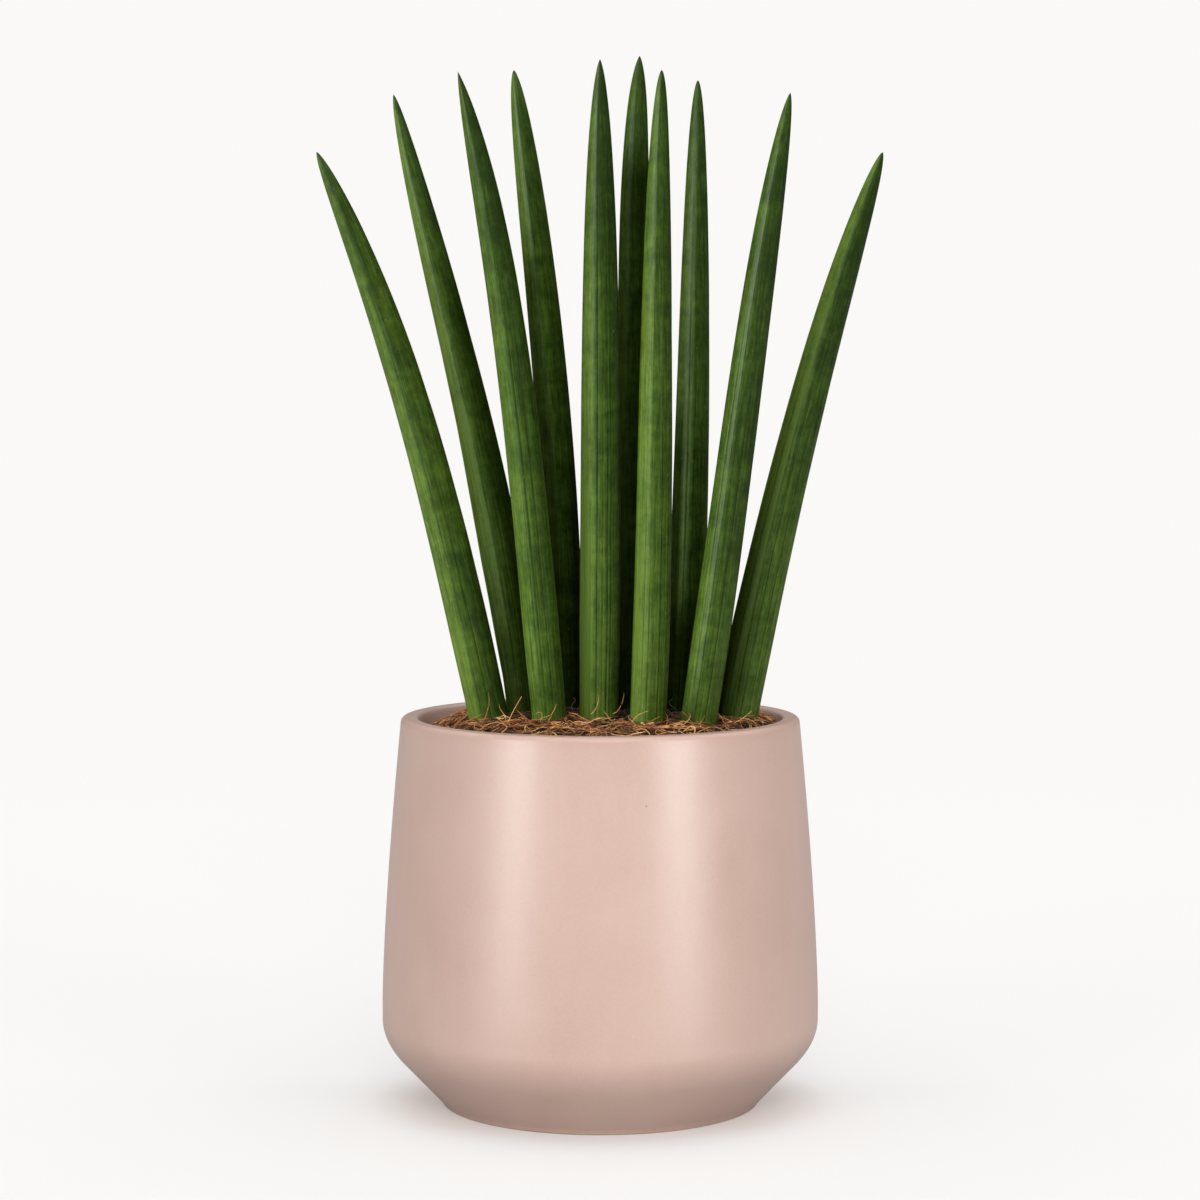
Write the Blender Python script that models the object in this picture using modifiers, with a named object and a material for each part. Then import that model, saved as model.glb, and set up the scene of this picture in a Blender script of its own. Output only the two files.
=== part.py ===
"""Cylindrical snake plant (Dracaena angolensis) growing in a glazed ceramic pot.

Metres, +Z up. The origin is on the pot's axis, on the surface that the pot
stands on. The ten spear leaves stand in two ranks along X, the front rank
on the -Y side. Below the coir the leaves sit on a creeping rhizome, which is
bedded in the potting mix with its roots.
"""

import math

import bmesh
import bpy
from mathutils import Vector

MM = 0.001

# ---------------------------------------------------------------- dimensions
# All in millimetres.
GAP = 0.3                  # clearance between pieces that touch

POT_HEIGHT = 166.7
FOOT_RADIUS = 67.4         # where the chamfer meets the surface
CHAMFER_SLOPE = 0.95       # radius gained per mm of height
BELLY_RADIUS = 93.85
BELLY_HEIGHT = 44.0
RIM_RADIUS = 85.6          # outside, just below the lip
WALL_BOW = 1.43            # how the wall curves in from belly to rim
SHOULDER_BLEND = 8.2       # softness of the edge between chamfer and wall
WALL = 7.6                 # ceramic thickness of the wall
LIP_OUTER_ROUND = 2.4
LIP_INNER_ROUND = 1.5
FOOT_ROUND = 1.2
FLOOR_Z = 13.0             # inside floor
FOOT_RING_WIDTH = 9.0
FOOT_RECESS = 3.2
DRAIN_RADIUS = 10.0
TURN_STEPS = 48

MIX_TOP = 146.0            # potting mix below the coir
COIR_EDGE_TOP = 160.6      # top of the coir against the wall
COIR_MOUND_TOP = 166.4     # top of the coir among the leaves
COIR_MOUND_RADIUS = 60.0

LEAF_FOOT_Z = 120.0        # the leaves' lower ends, on the rhizome
LEAF_TIP_RADIUS = 0.45
LEAF_BASE_WAIST = 0.95     # the leaf narrows where it enters the coir

# name: (foot x, foot y, tip x, tip y, tip z, bow, skew, thickness,
#        taper length, taper power, greatest thickness)
LEAVES = {
    "leaf_01": (-37.3, -10.0, -119.1, -14.0, 406.0, 8.8, 2.1, 22.7, 89.0, 0.64, 19.2),
    "leaf_02": (-28.8, 12.0, -89.9, 36.0, 434.3, 8.2, -2.2, 24.0, 126.0, 0.65, 19.2),
    "leaf_03": (-16.8, -12.0, -58.8, -34.0, 437.5, 5.8, 2.2, 16.7, 46.0, 0.84, 17.4),
    "leaf_04": (-16.4, 30.0, -38.0, 52.0, 446.4, 7.4, -0.5, 18.7, 54.0, 0.63, 19.2),
    "leaf_05": (-1.7, -3.0, -0.1, -22.0, 443.8, 1.0, -0.3, 20.8, 65.0, 0.70, 19.2),
    "leaf_06": (11.8, 20.0, 17.2, 40.0, 451.4, -0.3, -1.3, 15.0, 27.0, 0.74, 15.8),
    "leaf_07": (17.6, -18.0, 25.2, -46.0, 437.1, 1.4, -1.0, 21.0, 115.0, 0.56, 19.2),
    "leaf_08": (32.5, 20.0, 42.8, 46.0, 441.4, 2.3, -0.5, 24.0, 155.0, 0.56, 19.2),
    "leaf_09": (33.6, -26.0, 78.0, -44.0, 428.0, -0.1, -1.2, 19.8, 75.0, 0.67, 17.0),
    "leaf_10": (50.4, -10.0, 120.2, 4.0, 407.2, -6.4, -0.4, 24.0, 94.0, 0.62, 19.2),
}
FRONT_RANK = ("leaf_01", "leaf_03", "leaf_05", "leaf_07", "leaf_09", "leaf_10")
BACK_RANK = ("leaf_02", "leaf_04", "leaf_06", "leaf_08")

RHIZOME_Z = 101.0          # axis of the creeping stem
RHIZOME_RADIUS = 8.0
BUD_RADIUS = 6.2           # the short crown under each leaf
ROOT_COUNT = 10
ROOT_RADIUS = 1.7


# ------------------------------------------------------------------- scene
def clear_scene():
    for obj in list(bpy.data.objects):
        bpy.data.objects.remove(obj, do_unlink=True)


def collection(name):
    made = bpy.data.collections.new(name)
    bpy.context.scene.collection.children.link(made)
    return made


def material(name, colour, roughness, metallic=0.0):
    made = bpy.data.materials.new(name)
    made.use_nodes = True
    shader = made.node_tree.nodes["Principled BSDF"]
    shader.inputs["Base Color"].default_value = (*colour, 1.0)
    shader.inputs["Roughness"].default_value = roughness
    shader.inputs["Metallic"].default_value = metallic
    made.diffuse_color = (*colour, 1.0)
    return made


def mesh_object(name, mesh, where, mat=None):
    obj = bpy.data.objects.new(name, mesh)
    where.objects.link(obj)
    if mat:
        obj.data.materials.clear()
        obj.data.materials.append(mat)
    return obj


def as_cutter(obj):
    obj.hide_render = True
    obj.display_type = "WIRE"
    return obj


# ------------------------------------------------------------ turned shapes
def turned(name, profile, where, mat=None, closed=False):
    """An object turned about Z from (radius, height) points in mm, which run
    down the outer side, from top to bottom."""
    mesh = bpy.data.meshes.new(name)
    made = bmesh.new()
    points = [made.verts.new((r * MM, 0.0, z * MM)) for r, z in profile]
    for a, b in zip(points, points[1:]):
        made.edges.new((a, b))
    if closed:
        made.edges.new((points[-1], points[0]))
    made.to_mesh(mesh)
    made.free()
    obj = mesh_object(name, mesh, where, mat)
    screw = obj.modifiers.new("Turn", "SCREW")
    screw.axis = "Z"
    screw.angle = 2 * math.pi
    screw.steps = TURN_STEPS
    screw.render_steps = TURN_STEPS
    screw.use_merge_vertices = True
    screw.merge_threshold = 0.00001
    screw.use_smooth_shade = True
    return obj


def arc(cx, cz, radius, start, end, count):
    """Points on a circle from start to end, in degrees."""
    out = []
    for i in range(count + 1):
        a = math.radians(start + (end - start) * i / count)
        out.append((cx + radius * math.cos(a), cz + radius * math.sin(a)))
    return out


def wall_radius(z):
    """Outer radius of the wall above the shoulder, without the shoulder."""
    if z <= BELLY_HEIGHT:
        return BELLY_RADIUS
    share = (z - BELLY_HEIGHT) / (164.0 - BELLY_HEIGHT)
    return BELLY_RADIUS - (BELLY_RADIUS - RIM_RADIUS) * share ** WALL_BOW


def outer_radius(z):
    """Outer radius of the pot: the chamfer blended into the wall."""
    a, b, k = FOOT_RADIUS + CHAMFER_SLOPE * z, wall_radius(z), SHOULDER_BLEND
    h = min(1.0, max(0.0, 0.5 + 0.5 * (b - a) / k))
    return b + (a - b) * h - k * h * (1.0 - h)


def inner_radius(z):
    """Inner radius of the pot: the outer profile moved in by the wall."""
    step = 0.5
    slope = (outer_radius(z + step) - outer_radius(z - step)) / (2 * step)
    return outer_radius(z) - WALL * math.sqrt(1.0 + slope * slope)


def pot_profile():
    """The pot's closed profile: down the outside, over the foot ring, up the
    drain hole, out over the floor, up the inside and over the lip."""
    top = POT_HEIGHT
    out = []
    lip_z = top - LIP_OUTER_ROUND
    lip_r = outer_radius(lip_z)
    out += arc(lip_r - LIP_OUTER_ROUND, lip_z, LIP_OUTER_ROUND, 90, 0, 3)
    for z in (144, 116, 92, 72, 56, 44, 37, 33, 30, 27, 23.5, 19):
        out.append((outer_radius(z), float(z)))
    out += arc(outer_radius(FOOT_ROUND) - FOOT_ROUND, FOOT_ROUND, FOOT_ROUND, -20, -90, 2)
    ring = FOOT_RADIUS - FOOT_RING_WIDTH
    out += [(ring, 0.0), (ring - 2.6, FOOT_RECESS), (DRAIN_RADIUS, FOOT_RECESS)]
    out += [(DRAIN_RADIUS, FLOOR_Z)]
    corner = inner_radius(FLOOR_Z + 6)
    out += arc(corner - 8.0, FLOOR_Z + 8.0, 8.0, -90, -42, 3)
    for z in (30, 38, 52, 76, 108):
        out.append((inner_radius(z), float(z)))
    mouth = inner_radius(top - 3)
    out += arc(mouth + LIP_INNER_ROUND, top - LIP_INNER_ROUND, LIP_INNER_ROUND, 180, 90, 2)
    return out


def coir_top(r):
    """Height of the coir at a radius: a low mound that falls to the wall."""
    edge = inner_radius(COIR_EDGE_TOP) - GAP
    share = min(1.0, max(0.0, (r - COIR_MOUND_RADIUS) / (edge - COIR_MOUND_RADIUS)))
    ease = share * share * (3 - 2 * share)
    return COIR_MOUND_TOP + (COIR_EDGE_TOP - COIR_MOUND_TOP) * ease


def coir_profile():
    edge = inner_radius(COIR_EDGE_TOP) - GAP
    out = [(0.0, coir_top(0.0))]
    for r in (60.0, 65.0, 70.0, 75.0):
        out.append((r, coir_top(r)))
    out.append((edge, COIR_EDGE_TOP))
    base = MIX_TOP + GAP
    out += [(inner_radius(base) - GAP, base), (0.0, base)]
    return out


def mix_profile():
    out = [(0.0, MIX_TOP), (inner_radius(MIX_TOP) - GAP, MIX_TOP)]
    for z in (108, 76, 52, 38, 30):
        out.append((inner_radius(z) - GAP, float(z)))
    corner = inner_radius(FLOOR_Z + 6)
    for r, z in reversed(arc(corner - 8.0, FLOOR_Z + 8.0, 8.0, -90, -42, 3)):
        out.append((r - GAP - 0.1, z + GAP + 0.1))
    out += [(0.0, FLOOR_Z + GAP + 0.1)]
    return out


# ------------------------------------------------------------------- tubes
def tube(name, points, radii, where, mat=None, sides=10):
    """A closed tube through points (mm), with a radius at each, as a mesh."""
    curve = bpy.data.curves.new(name, "CURVE")
    curve.dimensions = "3D"
    curve.twist_mode = "MINIMUM"
    curve.bevel_depth = 1.0 * MM
    curve.bevel_resolution = (sides - 4) // 2
    curve.use_fill_caps = True
    spline = curve.splines.new("POLY")
    spline.points.add(len(points) - 1)
    for point, place, radius in zip(spline.points, points, radii):
        point.co = (place[0] * MM, place[1] * MM, place[2] * MM, 1.0)
        point.radius = radius
    guide = bpy.data.objects.new(name + "_curve", curve)
    where.objects.link(guide)
    bpy.context.view_layer.update()
    graph = bpy.context.evaluated_depsgraph_get()
    mesh = bpy.data.meshes.new_from_object(guide.evaluated_get(graph))
    mesh.name = name
    made = bmesh.new()
    made.from_mesh(mesh)
    bmesh.ops.remove_doubles(made, verts=made.verts, dist=0.00001)
    bmesh.ops.recalc_face_normals(made, faces=made.faces)
    made.to_mesh(mesh)
    made.free()
    matrix = guide.matrix_world.copy()
    bpy.data.objects.remove(guide, do_unlink=True)
    bpy.data.curves.remove(curve)
    obj = mesh_object(name, mesh, where, mat)
    obj.matrix_world = matrix
    mesh.shade_smooth()
    mesh.set_sharp_from_angle(angle=math.radians(40))
    return obj


def leaf_point(leaf, u):
    """The leaf's centre line: u is 0 at its foot and 1 at its tip."""
    fx, fy, tx, ty, tz, bow, skew = leaf[:7]
    side = bow * 4 * u * (1 - u) + skew * 8 * u * (1 - u) * (2 * u - 1)
    return Vector((
        fx + (tx - fx) * u + side,
        fy + (ty - fy) * u,
        LEAF_FOOT_Z + (tz - LEAF_FOOT_Z) * u,
    ))


def leaf_radius(leaf, from_tip, length):
    """Round spear: blunt point, long taper, then almost even down to the
    coir, where it narrows a little."""
    thick, taper, power, most = leaf[7:11]
    wide = thick * (1 - math.exp(-((max(from_tip, 0.0) / taper) ** power)))
    wide = max(wide, 1e-6)
    wide = (wide ** -8 + most ** -8) ** (-1 / 8)
    share = min(1.0, max(0.0, (from_tip - (length - 90)) / 45))
    wide *= 1 - (1 - LEAF_BASE_WAIST) * share * share * (3 - 2 * share)
    return max(LEAF_TIP_RADIUS, wide / 2)


def leaf_line(leaf, rings=13):
    """Points and radii from foot to tip, closer together near the point."""
    fine = [leaf_point(leaf, i / 200) for i in range(201)]
    run = [0.0]
    for a, b in zip(fine, fine[1:]):
        run.append(run[-1] + (b - a).length)
    length = run[-1]
    points, radii = [], []
    for i in range(rings + 1):
        u = 1 - (1 - i / rings) ** 1.5
        points.append(leaf_point(leaf, u))
        at = u * 200
        k = min(199, int(at))
        along = run[k] + (run[k + 1] - run[k]) * (at - k)
        radii.append(leaf_radius(leaf, length - along, length))
    return points, radii


def cut(obj, name, cutters):
    knife = obj.modifiers.new(name, "BOOLEAN")
    knife.operation = "DIFFERENCE"
    knife.solver = "EXACT"
    knife.operand_type = "COLLECTION"
    knife.collection = cutters


# ------------------------------------------------------------------ rhizome
def stem_runs():
    """Axis points of the creeping stem: one run under each rank of leaves,
    and a short run that joins them."""
    def under(names):
        feet = [LEAVES[n] for n in names]
        middle = sum(leaf[1] for leaf in feet) / len(feet)
        out = []
        for k, leaf in enumerate(feet):
            y = (leaf[1] + middle) / 2
            out.append(Vector((leaf[0], y, RHIZOME_Z + 1.5 * math.sin(1.9 * k))))
        return out

    def past(a, b, reach):
        """A point beyond b, on the line from a."""
        return b + (b - a).normalized() * reach

    front, back = under(FRONT_RANK), under(BACK_RANK)
    link = [front[2], (front[2] + back[2]) / 2 + Vector((0.5, 0.0, -1.0)), back[2]]
    return {
        "front": [past(front[1], front[0], 9.0), *front, past(front[-2], front[-1], 6.0)],
        "back": [past(back[1], back[0], 6.0), *back, past(back[-2], back[-1], 7.0)],
        "link": link,
    }


def smooth_run(points, per=3):
    """A Catmull-Rom line through the points."""
    out = []
    for i in range(len(points) - 1):
        a = points[max(i - 1, 0)]
        b, c = points[i], points[i + 1]
        d = points[min(i + 2, len(points) - 1)]
        for k in range(per):
            t = k / per
            out.append(0.5 * (2 * b + (c - a) * t + (2 * a - 5 * b + 4 * c - d) * t * t
                              + (3 * b - a - 3 * c + d) * t ** 3))
    out.append(points[-1].copy())
    return out


def stem_radii(count):
    """Swollen between the scale-leaf joints, and rounded off at both ends."""
    out = []
    for i in range(count):
        end = min(i, count - 1 - i)
        swell = 1.0 + 0.05 * math.cos(2.1 * i)
        out.append(RHIZOME_RADIUS * swell * (0.62 if end == 0 else 1.0))
    return out


def root_line(k):
    """A root that leaves the stem, runs out and down and curls at its end."""
    names = FRONT_RANK + BACK_RANK
    leaf = LEAVES[names[k % len(names)]]
    start = Vector((leaf[0], leaf[1], RHIZOME_Z - 2.0))
    turn = 2 * math.pi * k / ROOT_COUNT + 0.35
    reach = 58.0 + 6.0 * math.sin(2.3 * k)
    end = Vector((reach * math.cos(turn), reach * math.sin(turn), 34.0 + 15.0 * (k % 3)))
    out = []
    count = 5
    for i in range(count + 1):
        t = i / count
        place = start.lerp(end, t)
        place.z = start.z + (end.z - start.z) * t ** 1.6
        sway = math.sin(math.pi * t)
        place.x += 5.0 * sway * math.cos(1.7 * k)
        place.y += 5.0 * sway * math.sin(2.9 * k)
        out.append(place)
    radii = [ROOT_RADIUS * (1.0 - 0.5 * i / count) for i in range(count + 1)]
    return out, radii


def rhizome_pieces(grow, where, tag, mats=None):
    """The stem runs, the crown under each leaf and the roots, each grown by
    this much, as separate overlapping meshes."""
    made = []
    for name, run in stem_runs().items():
        line = smooth_run(run)
        radii = [r + grow for r in stem_radii(len(line))]
        made.append(tube(f"{tag}_stem_{name}", line, radii, where, sides=8))
    for name, leaf in LEAVES.items():
        foot = leaf_point(leaf, 0.0)
        lean = (leaf_point(leaf, 0.05) - foot).normalized()
        top = foot - lean * (GAP - 2 * grow)
        base = foot - lean * (foot.z - RHIZOME_Z)
        line = [base, base.lerp(top, 0.55), top]
        made.append(tube(f"{tag}_crown_{name[-2:]}", line,
                         [BUD_RADIUS + grow - 0.6, BUD_RADIUS + grow, BUD_RADIUS + grow - 0.8],
                         where, sides=8))
    for k in range(ROOT_COUNT):
        line, radii = root_line(k)
        made.append(tube(f"{tag}_root_{k:02d}", line, [r + grow for r in radii], where, sides=6))
    return made


# -------------------------------------------------------------------- build
def build():
    clear_scene()
    plant = collection("cylindrical_snake_plant")
    leaf_cutters = collection("leaf_cutters")
    stem_cutters = collection("stem_cutters")
    stem_joins = collection("stem_joins")

    glaze = material("pot_glaze", (0.62, 0.45, 0.39), 0.42)
    mix_mat = material("potting_mix", (0.055, 0.035, 0.022), 0.95)
    coir_mat = material("coir", (0.33, 0.17, 0.08), 0.9)
    leaf_mat = material("leaf", (0.045, 0.13, 0.03), 0.45)
    stem_mat = material("rhizome", (0.55, 0.36, 0.16), 0.7)

    pot = turned("pot", pot_profile(), plant, glaze, closed=True)
    mix = turned("potting_mix", mix_profile(), plant, mix_mat)
    coir = turned("coir_topping", coir_profile(), plant, coir_mat)

    for name, leaf in LEAVES.items():
        points, radii = leaf_line(leaf)
        tube(name, points, radii, plant, leaf_mat, sides=12)
        lean = (points[1] - points[0]).normalized()
        wide = [r + GAP for r in radii]
        as_cutter(tube("socket_" + name[-2:], [points[0] - lean * 2 * GAP, *points[1:]],
                       wide, leaf_cutters, sides=12))

    joined = rhizome_pieces(0.0, stem_joins, "join")
    stem = joined[0]
    stem_joins.objects.unlink(stem)
    plant.objects.link(stem)
    stem.name = "rhizome"
    stem.data.materials.append(stem_mat)
    union = stem.modifiers.new("Grow together", "BOOLEAN")
    union.operation = "UNION"
    union.solver = "EXACT"
    union.operand_type = "COLLECTION"
    union.collection = stem_joins
    for obj in joined[1:]:
        as_cutter(obj)
    for obj in rhizome_pieces(GAP + 0.15, stem_cutters, "bed"):
        as_cutter(obj)

    cut(coir, "Leaf holes", leaf_cutters)
    cut(mix, "Leaf sockets", leaf_cutters)
    cut(mix, "Rhizome bed", stem_cutters)
    bpy.context.view_layer.update()
    return pot, mix, coir, stem


build()
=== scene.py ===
"""Looks of the cylindrical snake plant in its glazed pot.

Metres, +Z up, origin on the pot's axis where it stands. Dimensions below are
in millimetres and are the same ones that the construction uses.
"""

import math

import bpy
import numpy as np
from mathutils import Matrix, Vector


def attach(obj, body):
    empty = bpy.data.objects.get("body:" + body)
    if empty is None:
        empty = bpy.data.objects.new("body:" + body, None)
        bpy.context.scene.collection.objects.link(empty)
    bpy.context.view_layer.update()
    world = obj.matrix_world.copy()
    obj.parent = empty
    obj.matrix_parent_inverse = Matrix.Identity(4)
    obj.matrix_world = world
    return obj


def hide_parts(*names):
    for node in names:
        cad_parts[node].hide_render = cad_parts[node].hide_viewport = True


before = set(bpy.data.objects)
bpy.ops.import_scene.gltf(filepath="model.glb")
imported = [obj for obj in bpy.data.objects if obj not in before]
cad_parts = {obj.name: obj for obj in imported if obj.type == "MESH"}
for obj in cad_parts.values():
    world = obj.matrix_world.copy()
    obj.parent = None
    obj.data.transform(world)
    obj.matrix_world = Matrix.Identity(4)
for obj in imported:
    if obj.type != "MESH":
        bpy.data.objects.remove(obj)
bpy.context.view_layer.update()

MM = 0.001
BODY = "root"

# ------------------------------------------------------------ construction
GAP = 0.3
POT_HEIGHT = 166.7
FOOT_RADIUS = 67.4
CHAMFER_SLOPE = 0.95
BELLY_RADIUS = 93.85
BELLY_HEIGHT = 44.0
RIM_RADIUS = 85.6
WALL_BOW = 1.43
SHOULDER_BLEND = 8.2
WALL = 7.6
LIP_OUTER_ROUND = 2.4
LIP_INNER_ROUND = 1.5
FOOT_ROUND = 1.2
FLOOR_Z = 13.0
FOOT_RING_WIDTH = 9.0
FOOT_RECESS = 3.2
DRAIN_RADIUS = 10.0

MIX_TOP = 146.0
COIR_EDGE_TOP = 160.6
COIR_MOUND_TOP = 166.4
COIR_MOUND_RADIUS = 60.0

LEAF_FOOT_Z = 120.0
LEAF_BASE_WAIST = 0.95
LEAF_FLAT = 0.3             # how flat a leaf is between its ridges

# name: (foot x, foot y, tip x, tip y, tip z, bow, skew, thickness,
#        taper length, taper power, greatest thickness)
LEAVES = {
    "leaf_01": (-37.3, -10.0, -119.1, -14.0, 406.0, 8.8, 2.1, 22.7, 89.0, 0.64, 19.2),
    "leaf_02": (-28.8, 12.0, -89.9, 36.0, 434.3, 8.2, -2.2, 24.0, 126.0, 0.65, 19.2),
    "leaf_03": (-16.8, -12.0, -58.8, -34.0, 437.5, 5.8, 2.2, 16.7, 46.0, 0.84, 17.4),
    "leaf_04": (-16.4, 30.0, -38.0, 52.0, 446.4, 7.4, -0.5, 18.7, 54.0, 0.63, 19.2),
    "leaf_05": (-1.7, -3.0, -0.1, -22.0, 443.8, 1.0, -0.3, 20.8, 65.0, 0.70, 19.2),
    "leaf_06": (11.8, 20.0, 17.2, 40.0, 451.4, -0.3, -1.3, 15.0, 27.0, 0.74, 15.8),
    "leaf_07": (17.6, -18.0, 25.2, -46.0, 437.1, 1.4, -1.0, 21.0, 115.0, 0.56, 19.2),
    "leaf_08": (32.5, 20.0, 42.8, 46.0, 441.4, 2.3, -0.5, 24.0, 155.0, 0.56, 19.2),
    "leaf_09": (33.6, -26.0, 78.0, -44.0, 428.0, -0.1, -1.2, 19.8, 75.0, 0.67, 17.0),
    "leaf_10": (50.4, -10.0, 120.2, 4.0, 407.2, -6.4, -0.4, 24.0, 94.0, 0.62, 19.2),
}

# Each leaf's settings: groove angles in degrees (0 faces the front, 90 the
# right) with their depth and the share of the leaf that they climb, the two
# ridges between which its front is a little flat, the angle of the channel,
# how light or yellow the leaf is, how dark its painted shade among the others
# is, how much lighter it is low down (low, painted light) and near the point
# (top), how much lighter its left flank (rim) and its right side (lee) are
# painted low down and high up, and the painted shade where a neighbour stands
# close: side, heights in mm and the share that is left.
LEAF_STYLE = {
    "leaf_01": dict(grooves=((-45, .9, .9), (-30, .4, .5), (-13, 1., .95), (12, .7, .6), (36, .5, .4)),
                    ridges=(-13, 48), channel=108, light=0.33, yellow=0.58, deep=1.50, low=0.14, rim=(.14, .0), lee=(-0.36, 0.16), seed=11.0),
    "leaf_02": dict(grooves=((-44, .6, .6), (-15, .9, .9), (8, .7, .7), (34, .6, .5)),
                    ridges=(-15, 46), channel=106, light=0.57, yellow=0.26, deep=1.00, low=0.05, top=-0.14, rim=(-0.06, 0.1), lee=(-0.28, -0.08), seed=23.5,
                    neighbour_shade=(("right", 325, 372, 0.45), ("left", 186, 226, 0.44)),
                    fuller=((-90, 42, ((182, 0), (199, .68), (216, 1.05), (233, 1.42), (251, 1.26), (268, .9),
                                       (293, .3), (325, 0))),)),
    "leaf_03": dict(grooves=((-43, .8, .8), (-16, .9, .6), (-4, 1., .8), (22, .8, .7), (44, .5, .4)),
                    ridges=(-12, 52), channel=110, light=0.25, yellow=0.22, deep=1.60, low=0.34, rim=(-0.15, 0.0), lee=(.0, -.06), seed=37.2),
    "leaf_04": dict(grooves=((-40, .6, .6), (-12, .7, .7), (22, .7, .6), (50, .5, .5)),
                    ridges=(-13, 50), channel=112, light=0.37, yellow=0.28, deep=1.20, low=0.00, top=.05, lee=(0.06, 0.12), seed=41.9,
                    neighbour_shade=(("left", 352, 384, 0.30),)),
    "leaf_05": dict(grooves=((-54, .6, .8), (-31, .6, .6), (-8, 1., .85), (8, .4, .8), (23, 1., .65), (35, .8, .9), (50, .5, .5)),
                    ridges=(-18, 50), channel=106, light=0.34, yellow=0.14, deep=1.50, low=0.52, top=-.13, rim=(0.44, 0.04), seed=58.3),
    "leaf_06": dict(grooves=((-48, .6, .8), (-22, .6, .6), (12, .8, .7), (40, .5, .6)),
                    ridges=(-14, 46), channel=104, light=0.27, yellow=0.20, deep=0.65, low=0.28, rim=(.0, -.14), lee=(.0, .12), seed=63.8,
                    neighbour_shade=(("front", 394, 420, 0.32),)),
    "leaf_07": dict(grooves=((-50, .5, .6), (-28, .9, .6), (-8, .6, .5), (28, 1., .7), (43, .7, .8)),
                    ridges=(-11, 50), channel=106, light=0.42, yellow=0.36, deep=1.50, low=0.32, lee=(.14, -.06), seed=77.1),
    "leaf_08": dict(grooves=((-46, .6, .7), (-14, .9, .8), (9, .7, .9), (34, .6, .7)),
                    ridges=(1, 50), channel=105, light=0.46, yellow=0.02, deep=0.60, low=0.00, top=-.14, rim=(.0, -.16), seed=85.6,
                    neighbour_shade=(("front", 192, 236, 0.14), ("right", 262, 305, 0.60), ("edge", 268, 322, 0.28))),
    "leaf_09": dict(grooves=((-39, .9, .8), (-17, .5, .9), (19, 1., .7), (42, .5, .5)),
                    ridges=(-19, 50), channel=109, light=0.30, yellow=0.20, deep=1.50, low=0.12, rim=(-0.12, -0.12), lee=(.24, -.06), seed=94.4,
                    neighbour_shade=(("left", 166, 192, 0.32),)),
    "leaf_10": dict(grooves=((-46, 1., .8), (-17, 1., .8), (4, 1.25, .8), (30, 1.1, .8), (48, .8, .6)),
                    ridges=(-10, 52), channel=110, light=0.27, yellow=0.22, deep=1.35, low=0.46, rim=(0.12, 0.4), lee=(0.14, 0.06), seed=103.7,
                    neighbour_shade=(("edge", 205, 262, 0.70),),
                    fuller=((-90, 42, ((160, 0), (176, .8), (187, 1.15), (199, 1.28), (216, .95), (233, .6),
                                       (268, .2), (290, 0))),)),
}


def wall_radius(z):
    if z <= BELLY_HEIGHT:
        return BELLY_RADIUS
    share = (z - BELLY_HEIGHT) / (164.0 - BELLY_HEIGHT)
    return BELLY_RADIUS - (BELLY_RADIUS - RIM_RADIUS) * share ** WALL_BOW


def outer_radius(z):
    a, b, k = FOOT_RADIUS + CHAMFER_SLOPE * z, wall_radius(z), SHOULDER_BLEND
    h = min(1.0, max(0.0, 0.5 + 0.5 * (b - a) / k))
    return b + (a - b) * h - k * h * (1.0 - h)


def inner_radius(z):
    step = 0.5
    slope = (outer_radius(z + step) - outer_radius(z - step)) / (2 * step)
    return outer_radius(z) - WALL * math.sqrt(1.0 + slope * slope)


def coir_top(r):
    """Height of the coir's bed at a radius."""
    edge = inner_radius(COIR_EDGE_TOP) - GAP
    share = np.clip((np.asarray(r, float) - COIR_MOUND_RADIUS) / (edge - COIR_MOUND_RADIUS), 0, 1)
    ease = share * share * (3 - 2 * share)
    return COIR_MOUND_TOP + (COIR_EDGE_TOP - COIR_MOUND_TOP) * ease


def leaf_point(leaf, u):
    """The leaf's centre line, for an array of u from 0 (foot) to 1 (tip)."""
    fx, fy, tx, ty, tz, bow, skew = leaf[:7]
    u = np.asarray(u, float)
    side = bow * 4 * u * (1 - u) + skew * 8 * u * (1 - u) * (2 * u - 1)
    return np.stack([fx + (tx - fx) * u + side, fy + (ty - fy) * u,
                     LEAF_FOOT_Z + (tz - LEAF_FOOT_Z) * u], -1)


def leaf_radius(leaf, from_tip, length):
    thick, taper, power, most = leaf[7:11]
    from_tip = np.maximum(np.asarray(from_tip, float), 0.0)
    wide = thick * (1 - np.exp(-((from_tip / taper) ** power)))
    wide = np.maximum(wide, 1e-3)
    wide = (wide ** -8.0 + most ** -8.0) ** (-1 / 8)
    share = np.clip((from_tip - (length - 90)) / 45, 0, 1)
    wide = wide * (1 - (1 - LEAF_BASE_WAIST) * share * share * (3 - 2 * share))
    return np.maximum(0.14, wide / 2)


# ------------------------------------------------------------------- meshes
def make_object(name, points, faces, mats, smooth=True, indices=None):
    """A mesh object from points in mm and faces as lists of corners."""
    mesh = bpy.data.meshes.new(name)
    mesh.from_pydata((np.asarray(points, float) * MM).tolist(), [], faces)
    for mat in mats:
        mesh.materials.append(mat)
    if indices is not None:
        mesh.polygons.foreach_set("material_index", np.asarray(indices, np.int32))
    mesh.validate()
    if smooth:
        mesh.shade_smooth()
    mesh.update()
    obj = bpy.data.objects.new(name, mesh)
    bpy.context.scene.collection.objects.link(obj)
    return obj


def add_number(obj, name, values):
    made = obj.data.attributes.new(name, "FLOAT", "POINT")
    made.data.foreach_set("value", np.asarray(values, np.float32).ravel())


def add_vector(obj, name, values):
    made = obj.data.attributes.new(name, "FLOAT_VECTOR", "POINT")
    made.data.foreach_set("vector", np.asarray(values, np.float32).ravel())


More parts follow.
